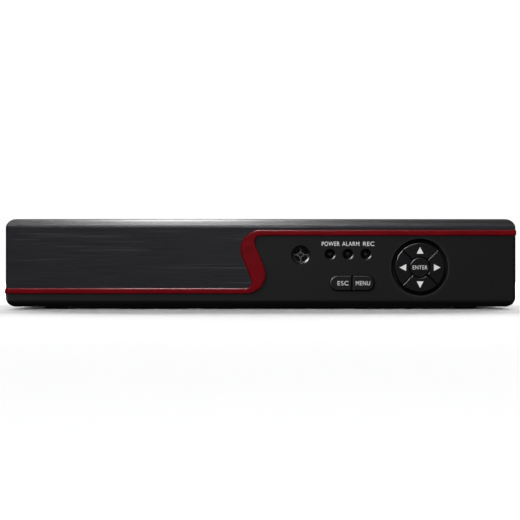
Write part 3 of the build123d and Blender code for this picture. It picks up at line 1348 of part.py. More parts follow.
# ---- every node, by name ----
nodes = {
    "front_bezel": front_bezel(),
    "upper_fascia": upper_fascia(),
    "red_trim": red_trim(),
    "key_board": key_board(),
    "key_board_screws": key_board_screws(),
    "tact_switches": tact_switches(),
    "indicator_lamps": indicator_lamps(),
    "window_shield": window_shield(),
    "remote_receiver": remote_receiver(),
    "ribbon_cable": ribbon_cable(),
    "enter_key": enter_key(),
    "bottom_tray": bottom_tray(),
    "top_cover": top_cover(),
    "rubber_feet": rubber_feet(),
    "cover_screws": cover_screws(),
    "bezel_screws": bezel_screws(),
    "main_board": main_board(),
    "board_screws": board_screws(),
    "processor": processor(),
    "heat_sink": heat_sink(),
    "logic_chips": logic_chips(),
    "filter_capacitors": filter_capacitors(),
    "coin_cell": coin_cell(),
    "bnc_blocks": bnc_blocks(),
    "bnc_shells": bnc_shells(),
    "bnc_insulators": bnc_insulators(),
    "bnc_contacts": bnc_contacts(),
    "rca_block": rca_block(),
    "rca_rings": rca_rings(),
    "display_shell": display_shell(),
    "display_insert": display_insert(),
    "display_nuts": display_nuts(),
    "hd_shell": hd_shell(),
    "usb_shell": usb_shell(),
    "socket_tongues": socket_tongues(),
    "lan_shield": lan_shield(),
    "lan_insert": lan_insert(),
    "dc_jack": dc_jack(),
    "drive_case": drive_case(),
    "drive_lid": drive_lid(),
    "drive_board": drive_board(),
    "drive_screws": drive_screws(),
    "fan_frame": fan_frame(),
    "fan_rotor": fan_rotor(),
    "fan_screws": fan_screws(),
    "data_lead": data_lead(),
    "power_lead": power_lead(),
}
for direction in PAD_DIRECTIONS:
    nodes[f"{direction}_key"] = direction_key(direction)
for pair_name in pair_switches():
    nodes[f"{pair_name}_key"] = half_key(pair_name)
for switch_name, place in switch_places().items():
    nodes[f"{switch_name}_stem"] = switch_stem(*place)

os.makedirs("parts", exist_ok=True)
for node_name, shape in nodes.items():
    export_step(shape, f"parts/{node_name}.step")
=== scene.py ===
import math

import bmesh
import bpy
from mathutils import Matrix, Vector


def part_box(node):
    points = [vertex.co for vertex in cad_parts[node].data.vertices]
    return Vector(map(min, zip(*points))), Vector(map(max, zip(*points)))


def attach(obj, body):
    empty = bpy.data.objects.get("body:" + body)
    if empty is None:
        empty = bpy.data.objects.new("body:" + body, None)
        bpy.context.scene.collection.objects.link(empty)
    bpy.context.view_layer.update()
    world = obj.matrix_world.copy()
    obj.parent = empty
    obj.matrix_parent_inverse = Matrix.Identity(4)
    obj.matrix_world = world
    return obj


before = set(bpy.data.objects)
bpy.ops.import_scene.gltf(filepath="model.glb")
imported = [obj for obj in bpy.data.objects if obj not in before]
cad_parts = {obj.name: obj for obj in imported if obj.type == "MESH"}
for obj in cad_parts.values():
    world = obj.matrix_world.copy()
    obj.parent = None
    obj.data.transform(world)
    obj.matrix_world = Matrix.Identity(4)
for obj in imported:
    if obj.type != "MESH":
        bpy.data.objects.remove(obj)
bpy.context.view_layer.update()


# The front moulding: a shallow black ABS box with the fine spark-eroded grain of its mould, as the
# ESC and MENU keys have. It holds every control and screws to the tray behind it.
def linear(code):
    """An sRGB hex colour as the linear colour that a shader takes."""
    parts = [int(code[i:i + 2], 16) / 255 for i in (1, 3, 5)]
    return [c / 12.92 if c <= 0.04045 else ((c + 0.055) / 1.055) ** 2.4 for c in parts] + [1.0]


def add_node(tree, kind, settings=(), links=()):
    """A shader node, with its settings, and with outputs of other nodes linked to its inputs."""
    node = tree.nodes.new(kind)
    for key, value in dict(settings).items():
        if key == "stops":
            for stop, (position, color) in zip(node.color_ramp.elements, value):
                stop.position = position
                stop.color = color
        elif isinstance(key, int) or key in node.inputs:
            node.inputs[key].default_value = value
        else:
            setattr(node, key, value)
    for key, source in dict(links).items():
        tree.links.new(source, node.inputs[key])
    return node


def finish_named(name, settings):
    """A new material with one Principled shader, as (material, node tree, shader)."""
    material = bpy.data.materials.new(name)
    material.use_nodes = True
    tree = material.node_tree
    tree.nodes.clear()
    shader = add_node(tree, "ShaderNodeBsdfPrincipled", settings)
    add_node(tree, "ShaderNodeOutputMaterial", {}, {"Surface": shader.outputs["BSDF"]})
    return material, tree, shader


def grain(tree, shader, size, depth, detail=2.0, tones=(), stops=(0.3, 0.7)):
    """A fine grain, its size and depth in millimetres, darker in its hollows if it has two tones."""
    place = add_node(tree, "ShaderNodeTexCoord")
    noise = add_node(
        tree,
        "ShaderNodeTexNoise",
        {"Scale": 1000 / size, "Detail": detail, "Roughness": 0.6},
        {"Vector": place.outputs["Object"]},
    )
    bump = add_node(
        tree,
        "ShaderNodeBump",
        {"Strength": 1.0, "Distance": depth / 1000},
        {"Height": noise.outputs["Fac"]},
    )
    tree.links.new(bump.outputs["Normal"], shader.inputs["Normal"])
    if tones:
        tone = add_node(
            tree,
            "ShaderNodeValToRGB",
            {"stops": [(stop, linear(code)) for stop, code in zip(stops, tones)]},
            {"Fac": noise.outputs["Fac"]},
        )
        tree.links.new(tone.outputs["Color"], shader.inputs["Base Color"])
    return noise.outputs["Fac"]


def paint(material, *names):
    """Gives CAD nodes one material."""
    for name in names:
        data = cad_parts[name].data
        data.materials.clear()
        data.materials.append(material)


def middle_of(name):
    """The middle of a CAD node at rest."""
    low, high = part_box(name)
    return [(a + b) / 2 for a, b in zip(low, high)]


def within(tree, x, z, radius):
    """One inside a round column through the front, and nothing outside it."""
    place = add_node(tree, "ShaderNodeTexCoord")
    flat = add_node(
        tree,
        "ShaderNodeVectorMath",
        {"operation": "MULTIPLY", 1: (1, 0, 1)},
        {0: place.outputs["Object"]},
    )
    far = add_node(
        tree,
        "ShaderNodeVectorMath",
        {"operation": "DISTANCE", 1: (x, 0, z)},
        {0: flat.outputs["Vector"]},
    )
    inside = add_node(
        tree, "ShaderNodeMath", {"operation": "LESS_THAN", 1: radius}, {0: far.outputs["Value"]}
    )
    return inside.outputs[0]


# grained ABS: a broad dim sheen with a faint sparkle from the tool's texture
grained_abs, tree, shader = finish_named(
    "black ABS, spark-eroded grain",
    {"Base Color": linear("#0c0c0e"), "Roughness": 0.5, "IOR": 1.53, "Specular IOR Level": 0.12},
)
grain(tree, shader, 0.55, 0.012, tones=("#0a0a0c", "#101012"))

# the rims of the receiver's window and the lamp tubes come from polished core pins, and the well
# round the keys is coarser than the face
WINDOW_RIM = 0.0056
TUBE_RIM = 0.0031
WELL_EDGE = 0.018
FACE_ROUGHNESS, WELL_ROUGHNESS, RIM_ROUGHNESS = 0.5, 0.85, 0.28
lamps_low, lamps_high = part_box("indicator_lamps")
lamp_z = (lamps_low[2] + lamps_high[2]) / 2
lamp_radius = (lamps_high[2] - lamps_low[2]) / 2
first_lamp, last_lamp = lamps_low[0] + lamp_radius, lamps_high[0] - lamp_radius
middle_lamp = (first_lamp + last_lamp) / 2
window_x, _, window_z = middle_of("window_shield")
pad_x, _, pad_z = middle_of("enter_key")
polished = within(tree, window_x, window_z, WINDOW_RIM)
for x in (first_lamp, middle_lamp, last_lamp):
    rim = within(tree, x, lamp_z, TUBE_RIM)
    either = add_node(tree, "ShaderNodeMath", {"operation": "MAXIMUM"}, {0: polished, 1: rim})
    polished = either.outputs[0]
face = add_node(
    tree,
    "ShaderNodeMapRange",
    {"To Min": FACE_ROUGHNESS, "To Max": WELL_ROUGHNESS},
    {"Value": within(tree, pad_x, pad_z, WELL_EDGE)},
)
roughness = add_node(
    tree,
    "ShaderNodeMix",
    {"data_type": "FLOAT", 3: RIM_ROUGHNESS},
    {0: polished, 2: face.outputs["Result"]},
)
tree.links.new(roughness.outputs[0], shader.inputs["Roughness"])
paint(grained_abs, "front_bezel", "esc_key", "menu_key")


# The fascia: a black skin over the upper part of the front, with a hairline brushed film on it.
# The hairlines run from side to side over the face and the top; real ones are finer than these.
# Longer pale streaks in patches over them are painted highlights, where hairlines catch the light.
def drawn_out(tree, sizes, detail=2.0, roughness=0.5):
    """A noise stretched to one size in millimetres along each of x, y and z."""
    place = add_node(tree, "ShaderNodeTexCoord")
    scaled = add_node(
        tree,
        "ShaderNodeMapping",
        {"Scale": [1000 / size for size in sizes]},
        {"Vector": place.outputs["Object"]},
    )
    noise = add_node(
        tree,
        "ShaderNodeTexNoise",
        {"Scale": 1.0, "Detail": detail, "Roughness": roughness},
        {"Vector": scaled.outputs["Vector"]},
    )
    return noise.outputs["Fac"]


brushed_film, tree, shader = finish_named(
    "black brushed film",
    {"Base Color": linear("#161618"), "Roughness": 0.36, "IOR": 1.5, "Specular IOR Level": 0.3},
)
hairlines = drawn_out(tree, (38, 0.55, 0.55), 3.0, 0.7)
streaks = drawn_out(tree, (60, 1.1, 1.1), 1.0)
patches = drawn_out(tree, (120, 45, 45), 1.0)
fine = add_node(
    tree,
    "ShaderNodeValToRGB",
    {"stops": ((0.32, linear("#1d1d20")), (0.72, linear("#323236")))},
    {"Fac": hairlines},
)
# pale streaks, only in patches: painted highlights mixed into the film's colour
pale = add_node(
    tree, "ShaderNodeValToRGB", {"stops": ((0.6, (0, 0, 0, 1)), (0.74, (1, 1, 1, 1)))}, {"Fac": streaks}
)
where = add_node(
    tree, "ShaderNodeValToRGB", {"stops": ((0.42, (0, 0, 0, 1)), (0.62, (1, 1, 1, 1)))}, {"Fac": patches}
)
painted_glint_mask = add_node(
    tree,
    "ShaderNodeMath",
    {"operation": "MULTIPLY"},
    {0: pale.outputs["Color"], 1: where.outputs["Color"]},
)
tone = add_node(
    tree,
    "ShaderNodeMix",
    {"data_type": "RGBA", 7: linear("#515157")},
    {0: painted_glint_mask.outputs[0], 6: fine.outputs["Color"]},
)
tree.links.new(tone.outputs[2], shader.inputs["Base Color"])
gloss = add_node(tree, "ShaderNodeMapRange", {"To Min": 0.34, "To Max": 0.22}, {"Value": hairlines})
tree.links.new(gloss.outputs["Result"], shader.inputs["Roughness"])
HAIRLINE_DEPTH = 0.00002
bump = add_node(
    tree, "ShaderNodeBump", {"Strength": 1.0, "Distance": HAIRLINE_DEPTH}, {"Height": hairlines}
)
tree.links.new(bump.outputs["Normal"], shader.inputs["Normal"])
paint(brushed_film, "upper_fascia")


# The S-shaped strip: a solid coloured acrylic moulding, pressed into the seam between the two
# blacks. Its edges are rounded and its surface is polished, so it shows a thin light line on top.
red_acrylic, tree, shader = finish_named(
    "dark red gloss acrylic",
    {
        "Base Color": linear("#7a010c"),
        "Roughness": 0.3,
        "IOR": 1.49,
        "Specular IOR Level": 0.17,
        "Coat Weight": 0.1,
        "Coat Roughness": 0.08,
    },
)
tone = add_node(
    tree,
    "ShaderNodeValToRGB",
    {"stops": ((0.3, linear("#67000a")), (0.7, linear("#79020e")))},
    {"Fac": drawn_out(tree, (14, 14, 5))},
)
tree.links.new(tone.outputs["Color"], shader.inputs["Base Color"])
paint(red_acrylic, "red_trim")


# The round pad's keys: satin black ABS caps with softly rounded edges, polished a little more than
# the front by use. They stand on the plungers of the switches behind them.
satin_caps, tree, shader = finish_named(
    "satin black key caps",
    {"Base Color": linear("#101012"), "Roughness": 0.33, "IOR": 1.53, "Specular IOR Level": 0.16},
)
wear = grain(tree, shader, 0.8, 0.006)
satin = add_node(tree, "ShaderNodeMapRange", {"To Min": 0.28, "To Max": 0.4}, {"Value": wear})
tree.links.new(satin.outputs["Result"], shader.inputs["Roughness"])
quarter_keys = ("up_key", "right_key", "down_key", "left_key")
paint(satin_caps, "enter_key", *quarter_keys)


# The printing on the front: words over the lamps, words on three keys and a triangle on each
# quarter key, all pad printed in white ink that lies a few hundredths of a millimetre thick.
white_ink, tree, shader = finish_named(
    "white pad-printed ink",
    {"Base Color": linear("#e9eaec"), "Roughness": 0.55, "IOR": 1.45},
)
grain(tree, shader, 0.25, 0.004, tones=("#f0f1f3", "#ffffff"), stops=(0.35, 0.65))
INK = 0.00004


def new_piece(name, mesh, material, body):
    """A finished mesh, with one material, as an object that moves with a CAD body."""
    mesh.materials.clear()
    mesh.materials.append(material)
    piece = bpy.data.objects.new(name, mesh)
    bpy.context.scene.collection.objects.link(piece)
    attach(piece, body)
    return piece


def word_mesh(name, words, width, height, weight):
    """Words as a flat mesh of the ink's thickness, fitted to a width and a height and centred."""
    thickness = 0.04
    curve = bpy.data.curves.new(name, "FONT")
    curve.body = words
    curve.size = 1.0
    curve.extrude = thickness / 2
    curve.offset = weight
    curve.space_character = 1.08
    holder = bpy.data.objects.new(name, curve)
    bpy.context.scene.collection.objects.link(holder)
    bpy.context.view_layer.update()
    mesh = bpy.data.meshes.new_from_object(holder.evaluated_get(bpy.context.evaluated_depsgraph_get()))
    bpy.data.objects.remove(holder)
    bpy.data.curves.remove(curve)
    mesh.name = name
    xs = [v.co.x for v in mesh.vertices]
    ys = [v.co.y for v in mesh.vertices]
    back = Vector(((min(xs) + max(xs)) / 2, (min(ys) + max(ys)) / 2, -thickness / 2))
    sizes = (width / (max(xs) - min(xs)), height / (max(ys) - min(ys)), INK / thickness, 1)
    mesh.transform(Matrix.Diagonal(sizes) @ Matrix.Translation(-back))
    return mesh


def on_front(mesh, x, y, z):
    """Stands a flat mesh up, so that it faces the front, at a place on the front."""
    mesh.transform(Matrix.Translation((x, y, z)) @ Matrix.Rotation(math.radians(90), 4, "X"))
    return mesh


def thick_sheet(form):
    """Gives the one flat face of a bmesh a thickness of 1 upwards."""
    sheet = bmesh.ops.extrude_face_region(form, geom=form.faces[:])
    lifted = [v for v in sheet["geom"] if isinstance(v, bmesh.types.BMVert)]
    bmesh.ops.translate(form, verts=lifted, vec=(0, 0, 1))
    bmesh.ops.recalc_face_normals(form, faces=form.faces[:])


# words, the middle's x and the width; their height, rise over the lamps and weight are the same
WORD_HEIGHT = 0.0025
WORD_RISE = 0.0061
LAMP_WORD_WEIGHT = 0.004
panel_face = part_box("front_bezel")[0][1]
over_lamps = (
    ("POWER", first_lamp + 0.0004, 0.0105),
    ("ALARM", middle_lamp + 0.0016, 0.0101),
    ("REC", last_lamp + 0.0016, 0.0066),
)
for words, x, width in over_lamps:
    name = "printed_" + words.lower()
    mesh = word_mesh(name, words, width, WORD_HEIGHT, LAMP_WORD_WEIGHT)
    new_piece(name, on_front(mesh, x, panel_face, lamp_z + WORD_RISE), white_ink, "case")

# words, key, width, height and shift from the key's middle; the strokes are a little thinner
KEY_WORD_WEIGHT = -0.004
key_words = (
    ("ESC", "esc_key", 0.0064, 0.0025, 0.0018),
    ("MENU", "menu_key", 0.0083, 0.0025, -0.0010),
    ("ENTER", "enter_key", 0.0086, 0.0023, 0.0),
)
for words, key, width, height, shift in key_words:
    x, _, z = middle_of(key)
    name = "printed_" + words.lower()
    mesh = word_mesh(name, words, width, height, KEY_WORD_WEIGHT)
    body = key.replace("_key", "_button")
    new_piece(name, on_front(mesh, x + shift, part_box(key)[0][1], z), white_ink, body)

TRIANGLE_WIDTH, TRIANGLE_HEIGHT = 0.0040, 0.0039
TRIANGLE_OUT = 0.0081  # from the pad's middle to the triangle's base
for index, key in enumerate(quarter_keys):
    form = bmesh.new()
    bmesh.ops.create_circle(form, cap_ends=True, segments=3, radius=1.0)
    thick_sheet(form)
    high = max(v.co.y for v in form.verts)
    low = min(v.co.y for v in form.verts)
    wide = max(v.co.x for v in form.verts) - min(v.co.x for v in form.verts)
    shape = Matrix.Diagonal((TRIANGLE_WIDTH / wide, TRIANGLE_HEIGHT / (high - low), INK, 1))
    bmesh.ops.transform(form, matrix=shape @ Matrix.Translation((0, -low, 0)), verts=form.verts)
    turn = Matrix.Rotation(math.radians(-90 * index), 4, "Z")
    out = Matrix.Translation((0, TRIANGLE_OUT, 0))
    bmesh.ops.transform(form, matrix=turn @ out, verts=form.verts)
    mesh = bpy.data.meshes.new(key + "_triangle")
    form.to_mesh(mesh)
    form.free()
    on_front(mesh, pad_x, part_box(key)[0][1], pad_z)
    new_piece(key + "_triangle", mesh, white_ink, key.replace("_key", "_button"))


# The lamps: three 3 mm light-emitting diodes cast in clear epoxy, unlit, on tinned legs.
# They sit deep in dark tubes, so little of them shows.
clear_epoxy, tree, shader = finish_named(
    "clear epoxy lamp",
    {"Base Color": linear("#303234"), "Roughness": 0.12, "IOR": 1.52, "Specular IOR Level": 0.25},
)
grain(tree, shader, 1.2, 0.01, 1.0, ("#141516", "#2a2b2d"))
paint(clear_epoxy, "indicator_lamps")


# The receiver for the remote control: a block of infrared-clear resin, nearly black to the eye,
# behind a stamped and tinned shield with a cross over its window.
smoked_resin, tree, shader = finish_named(
    "smoked infrared resin",
    {"Base Color": linear("#0c0a10"), "Roughness": 0.18, "IOR": 1.55},
)
grain(tree, shader, 2.5, 0.02, 1.0)
paint(smoked_resin, "remote_receiver")

# the shield's tin is painted darker than bare tin: painted shade, for the shade deep in the window
shade_darkened_tin, tree, shader = finish_named(
    "tinned shield darkened as painted shade",
    {"Base Color": linear("#8a8884"), "Metallic": 1.0, "Roughness": 0.36},
)
grain(tree, shader, 1.2, 0.01)
paint(shade_darkened_tin, "window_shield")


# The cover and the tray: 1 mm steel, blanked and folded on a press brake, then powder coated
# in satin black. The coat levels into a very fine orange peel.
powder_coat, tree, shader = finish_named(
    "black powder coat on steel",
    {"Base Color": linear("#0e0e10"), "Roughness": 0.52, "IOR": 1.5, "Specular IOR Level": 0.14},
)
grain(tree, shader, 0.9, 0.03, 3.0, ("#0c0c0e", "#131315"))
paint(powder_coat, "top_cover", "bottom_tray")


# The rubber feet: moulded nitrile discs stuck under the tray, matt and a little dusty.
# The dust lies in the grain and pales it.
foot_rubber, tree, shader = finish_named(
    "black nitrile rubber",
    {"Base Color": linear("#1a1a1a"), "Roughness": 0.78, "IOR": 1.5, "Specular IOR Level": 0.3},
)
grain(tree, shader, 1.1, 0.03, 3.0, ("#141414", "#282827"), (0.35, 0.75))
paint(foot_rubber, "rubber_feet")


# The screws: cold-headed steel with bright zinc plating, slightly blue and never quite even.
# They hold the cover, the front, the boards, the drive and the fan.
zinc_plate, tree, shader = finish_named(
    "bright zinc-plated steel",
    {"Base Color": linear("#b4b7b9"), "Metallic": 1.0, "Roughness": 0.28},
)
grain(tree, shader, 0.7, 0.006, tones=("#9da1a4", "#c6c8c9"))
paint(
    zinc_plate,
    "cover_screws",
    "bezel_screws",
    "board_screws",
    "drive_screws",
    "fan_screws",
    "key_board_screws",
)


# The rear sockets' metal: barrels, rings and nuts of brass, die cast and turned, then nickel
# plated and tumbled bright, and stamped shells of tinned steel sheet.
nickel_plate, tree, shader = finish_named(
    "bright nickel plate",
    {"Base Color": linear("#bdb8ad"), "Metallic": 1.0, "Roughness": 0.2},
)
tool_marks = add_node(
    tree,
    "ShaderNodeMapRange",
    {"To Min": 0.14, "To Max": 0.3},
    {"Value": drawn_out(tree, (6, 0.3, 6))},
)
tree.links.new(tool_marks.outputs["Result"], shader.inputs["Roughness"])
paint(nickel_plate, "bnc_shells", "rca_rings", "display_nuts")

tinned_steel, tree, shader = finish_named(
    "tinned steel sheet",
    {"Base Color": linear("#a9a8a4"), "Metallic": 1.0, "Roughness": 0.34},
)
rolled = grain(tree, shader, 1.6, 0.008, 3.0, ("#8e8d8a", "#bdbcb8"))
dull = add_node(tree, "ShaderNodeMapRange", {"To Min": 0.26, "To Max": 0.46}, {"Value": rolled})
tree.links.new(dull.outputs["Result"], shader.inputs["Roughness"])
paint(tinned_steel, "hd_shell", "usb_shell", "lan_shield", "display_shell")

gilt_brass, tree, shader = finish_named(
    "gilt brass",
    {"Base Color": linear("#d2a55a"), "Metallic": 1.0, "Roughness": 0.22},
)
grain(tree, shader, 0.5, 0.004)
paint(gilt_brass, "bnc_contacts")


# The rear sockets' plastics: a white insulator in each barrel, moulded black housings that stand
# on the main board, a white jack over a red one, and a blue insert. The fan and the key switches
# are of the same black nylon.
white_insulator, tree, shader = finish_named(
    "white insulator",
    {"Base Color": linear("#dcdad2"), "Roughness": 0.45, "IOR": 1.42, "Subsurface Weight": 0.05},
)
grain(tree, shader, 1.0, 0.006, tones=("#cfcdc5", "#e6e4dd"))
paint(white_insulator, "bnc_insulators")

glass_nylon, tree, shader = finish_named(
    "black glass-filled nylon",
    {"Base Color": linear("#171717"), "Roughness": 0.52, "IOR": 1.53, "Specular IOR Level": 0.4},
)
grain(tree, shader, 0.4, 0.012, 3.0, ("#111111", "#1f1f20"))
paint(glass_nylon, "bnc_blocks", "lan_insert", "socket_tongues", "dc_jack")
paint(glass_nylon, "tact_switches", "fan_frame", "fan_rotor")

jack_plastic, tree, shader = finish_named(
    "white and red audio jack plastic",
    {"Base Color": linear("#c9c7c0"), "Roughness": 0.4, "IOR": 1.5},
)
place = add_node(tree, "ShaderNodeTexCoord")
height = add_node(tree, "ShaderNodeSeparateXYZ", {}, {"Vector": place.outputs["Object"]})
jack_low, jack_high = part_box("rca_rings")[0][2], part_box("rca_rings")[1][2]
upper = add_node(
    tree,
    "ShaderNodeMath",
    {"operation": "GREATER_THAN", 1: (jack_low + jack_high) / 2},
    {0: height.outputs["Z"]},
)
tone = add_node(
    tree,
    "ShaderNodeMix",
    {"data_type": "RGBA", 6: linear("#a01712"), 7: linear("#d8d6cf")},
    {0: upper.outputs[0]},
)
tree.links.new(tone.outputs[2], shader.inputs["Base Color"])
grain(tree, shader, 0.8, 0.006)
paint(jack_plastic, "rca_block")

blue_insert, tree, shader = finish_named(
    "blue moulded insert",
    {"Base Color": linear("#17418f"), "Roughness": 0.42, "IOR": 1.5},
)
grain(tree, shader, 0.7, 0.008, tones=("#133a84", "#1c4a9c"))
paint(blue_insert, "display_insert")


# The rear markings: what each socket is for, in the same white ink, screen printed on the panel
# over the sockets, and a number beside each video input.
rear_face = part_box("bottom_tray")[1][1]


def on_rear(mesh, x, z):
    """Stands a flat mesh up, so that it faces the rear, at a place on the rear panel."""
    stand = Matrix.Rotation(math.radians(180), 4, "Z") @ Matrix.Rotation(math.radians(90), 4, "X")
    mesh.transform(Matrix.Translation((x, rear_face, z)) @ stand)
    return mesh


# words, the socket below them, their width and their rise over it
REAR_WORD_HEIGHT = 0.0017
REAR_WEIGHT = 0.006
rear_words = (
    ("VIDEO IN", "bnc_blocks", 0.0150, -0.0004),
    ("AUDIO", "rca_rings", 0.0085, 0.0022),
    ("DISPLAY", "display_insert", 0.0110, 0.0024),
    ("HD VIDEO", "hd_shell", 0.0120, 0.0022),
    ("DATA", "usb_shell", 0.0068, 0.0022),
    ("NETWORK", "lan_shield", 0.0120, 0.0022),
    ("DC 12V", "dc_jack", 0.0090, 0.0022),
)
for words, node, width, rise in rear_words:
    low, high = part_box(node)
    name = "marked_" + words.lower().replace(" ", "_")
    mesh = word_mesh(name, words, width, REAR_WORD_HEIGHT, REAR_WEIGHT)
    new_piece(name, on_rear(mesh, (low[0] + high[0]) / 2, high[2] + rise), white_ink, "case")

# the inputs are in two rows, and a number stands above and beside each
INPUTS_A_ROW = 4
INSULATOR_RADIUS = 0.00405
DIGIT_WIDTH, DIGIT_HEIGHT = 0.0010, 0.0018
DIGIT_ACROSS, DIGIT_UP = 0.0070, 0.0045
inputs_low, inputs_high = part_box("bnc_insulators")
first_x, last_x = inputs_low[0] + INSULATOR_RADIUS, inputs_high[0] - INSULATOR_RADIUS
low_z, high_z = inputs_low[2] + INSULATOR_RADIUS, inputs_high[2] - INSULATOR_RADIUS
pitch = (last_x - first_x) / (INPUTS_A_ROW - 1)
for number in range(2 * INPUTS_A_ROW):
    x = last_x - (number % INPUTS_A_ROW) * pitch
    z = high_z if number < INPUTS_A_ROW else low_z
    name = f"marked_input_{number + 1}"
    mesh = word_mesh(name, str(number + 1), DIGIT_WIDTH, DIGIT_HEIGHT, REAR_WEIGHT)
    new_piece(name, on_rear(mesh, x + DIGIT_ACROSS, z + DIGIT_UP), white_ink, "case")


# The circuit boards: glass-epoxy laminate under green solder mask. The copper tracks beneath it
# show as slightly paler lines, and the glass weave as a faint texture.
solder_mask, tree, shader = finish_named(
    "green solder mask",
    {"Base Color": linear("#0f4a2b"), "Roughness": 0.3, "IOR": 1.5},
)
place = add_node(tree, "ShaderNodeTexCoord")
tracks = add_node(
    tree,
    "ShaderNodeTexBrick",
    {
        "Scale": 1000.0,
        "Mortar Size": 0.22,
        "Mortar Smooth": 0.1,
        "Brick Width": 7.0,
        "Row Height": 1.1,
        "Color1": linear("#0e4729"),
        "Color2": linear("#114d2e"),
        "Mortar": linear("#1c6a40"),
    },
    {"Vector": place.outputs["Object"]},
)
tree.links.new(tracks.outputs["Color"], shader.inputs["Base Color"])
grain(tree, shader, 0.6, 0.01)
paint(solder_mask, "main_board", "key_board", "drive_board")


# The chips: transfer-moulded epoxy with a matt top, the processor under its heat sink and the
# memory and decoders beside it.
chip_epoxy, tree, shader = finish_named(
    "moulded chip epoxy",
    {"Base Color": linear("#1c1c1d"), "Roughness": 0.6, "IOR": 1.55},
)
grain(tree, shader, 0.3, 0.01, tones=("#171718", "#242425"))
paint(chip_epoxy, "processor", "logic_chips")


# The heat sink: extruded aluminium, sawn to length and left bare, with the die's lines along it.
# It stands on the processor.
bare_aluminium, tree, shader = finish_named(
    "extruded bare aluminium",
    {"Base Color": linear("#c3c5c7"), "Metallic": 1.0, "Roughness": 0.35},
)
dull = add_node(
    tree,
    "ShaderNodeMapRange",
    {"To Min": 0.25, "To Max": 0.45},
    {"Value": drawn_out(tree, (0.5, 30, 0.5))},
)
tree.links.new(dull.outputs["Result"], shader.inputs["Roughness"])
paint(bare_aluminium, "heat_sink")


# The capacitors: aluminium cans in a dark blue shrink sleeve that stops at the rim, so the scored
# top shows bare. The height over the board picks out the bare metal.
BARE_TOP = 0.0003
shrink_sleeve, tree, shader = finish_named(
    "dark blue shrink sleeve",
    {"Base Color": linear("#17202f"), "Roughness": 0.25, "IOR": 1.5},
)
tone = add_node(
    tree,
    "ShaderNodeValToRGB",
    {"stops": ((0.3, linear("#131b29")), (0.7, linear("#1e2a3d")))},
    {"Fac": grain(tree, shader, 1.5, 0.01)},
)
place = add_node(tree, "ShaderNodeTexCoord")
height = add_node(tree, "ShaderNodeSeparateXYZ", {}, {"Vector": place.outputs["Object"]})
bare = add_node(
    tree,
    "ShaderNodeMath",
    {"operation": "GREATER_THAN", 1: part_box("filter_capacitors")[1][2] - BARE_TOP},
    {0: height.outputs["Z"]},
)
mixed = add_node(
    tree,
    "ShaderNodeMix",
    {"data_type": "RGBA", 7: linear("#b9babc")},
    {0: bare.outputs[0], 6: tone.outputs["Color"]},
)
tree.links.new(mixed.outputs[2], shader.inputs["Base Color"])
tree.links.new(bare.outputs[0], shader.inputs["Metallic"])
paint(shrink_sleeve, "filter_capacitors")


# The clock cell: a lithium coin cell, its can pressed from polished stainless steel. It lies in
# a clip on the main board.
cell_steel, tree, shader = finish_named(
    "polished stainless steel",
    {"Base Color": linear("#c8c6c0"), "Metallic": 1.0, "Roughness": 0.2},
)
grain(tree, shader, 0.9, 0.004)
paint(cell_steel, "coin_cell")


# The drive: a cast aluminium body, tumbled and left slightly grey, with a stamped stainless lid
# that keeps the rolled sheet's lines.
cast_aluminium, tree, shader = finish_named(
    "cast aluminium, tumbled",
    {"Base Color": linear("#7d7f82"), "Metallic": 1.0, "Roughness": 0.5},
)
grain(tree, shader, 0.7, 0.03, 3.0, ("#6b6d70", "#8e9093"))
paint(cast_aluminium, "drive_case")

stamped_lid, tree, shader = finish_named(
    "stamped stainless lid",
    {"Base Color": linear("#b0b1b2"), "Metallic": 1.0, "Roughness": 0.3},
)
dull = add_node(
    tree,
    "ShaderNodeMapRange",
    {"To Min": 0.22, "To Max": 0.42},
    {"Value": drawn_out(tree, (0.4, 25, 25))},
)
tree.links.new(dull.outputs["Result"], shader.inputs["Roughness"])
paint(stamped_lid, "drive_lid")


# The drive's label: white coated paper stuck on the lid, with grey printed rows that say nothing.
# The rows are bricks 17 mm long, 3 mm apart.
label_paper, tree, shader = finish_named(
    "white label paper",
    {"Base Color": linear("#e4e4e0"), "Roughness": 0.6, "IOR": 1.45, "Specular IOR Level": 0.3},
)
place = add_node(tree, "ShaderNodeTexCoord")
rows = add_node(
    tree,
    "ShaderNodeTexBrick",
    {
        "Scale": 1000.0,
        "Mortar Size": 1.1,
        "Mortar Smooth": 0.0,
        "Brick Width": 17.0,
        "Row Height": 3.0,
        "Color1": linear("#8c8c8a"),
        "Color2": linear("#b4b4b1"),
        "Mortar": linear("#e6e6e2"),
    },
    {"Vector": place.outputs["Object"]},
)
tree.links.new(rows.outputs["Color"], shader.inputs["Base Color"])
grain(tree, shader, 0.3, 0.004)
HALF_LABEL = (0.036, 0.016)
LABEL_FROM_REAR = 0.026  # from the lid's rear edge to the label's middle
PAPER = 0.0001
lid_low, lid_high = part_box("drive_lid")
form = bmesh.new()
bmesh.ops.create_grid(form, x_segments=1, y_segments=1, size=1.0)
thick_sheet(form)
lid_middle = (lid_low[0] + lid_high[0]) / 2
spot = Matrix.Translation((lid_middle, lid_high[1] - LABEL_FROM_REAR, lid_high[2]))
bmesh.ops.transform(form, matrix=spot @ Matrix.Diagonal((*HALF_LABEL, PAPER, 1)), verts=form.verts)
mesh = bpy.data.meshes.new("drive_label")
form.to_mesh(mesh)
form.free()
new_piece("drive_label", mesh, label_paper, "case")


# The leads: PVC-jacketed cable in moulded plugs, red for data and black for power, and a grey
# ribbon of parallel wires, with one edge marked red, between the two boards.
red_jacket, tree, shader = finish_named(
    "red PVC jacket",
    {"Base Color": linear("#8f1511"), "Roughness": 0.42, "IOR": 1.53},
)
grain(tree, shader, 1.4, 0.01, tones=("#83120f", "#9b1914"))
paint(red_jacket, "data_lead")

black_jacket, tree, shader = finish_named(
    "black PVC jacket",
    {"Base Color": linear("#18181a"), "Roughness": 0.45, "IOR": 1.53},
)
grain(tree, shader, 1.4, 0.01)
paint(black_jacket, "power_lead")

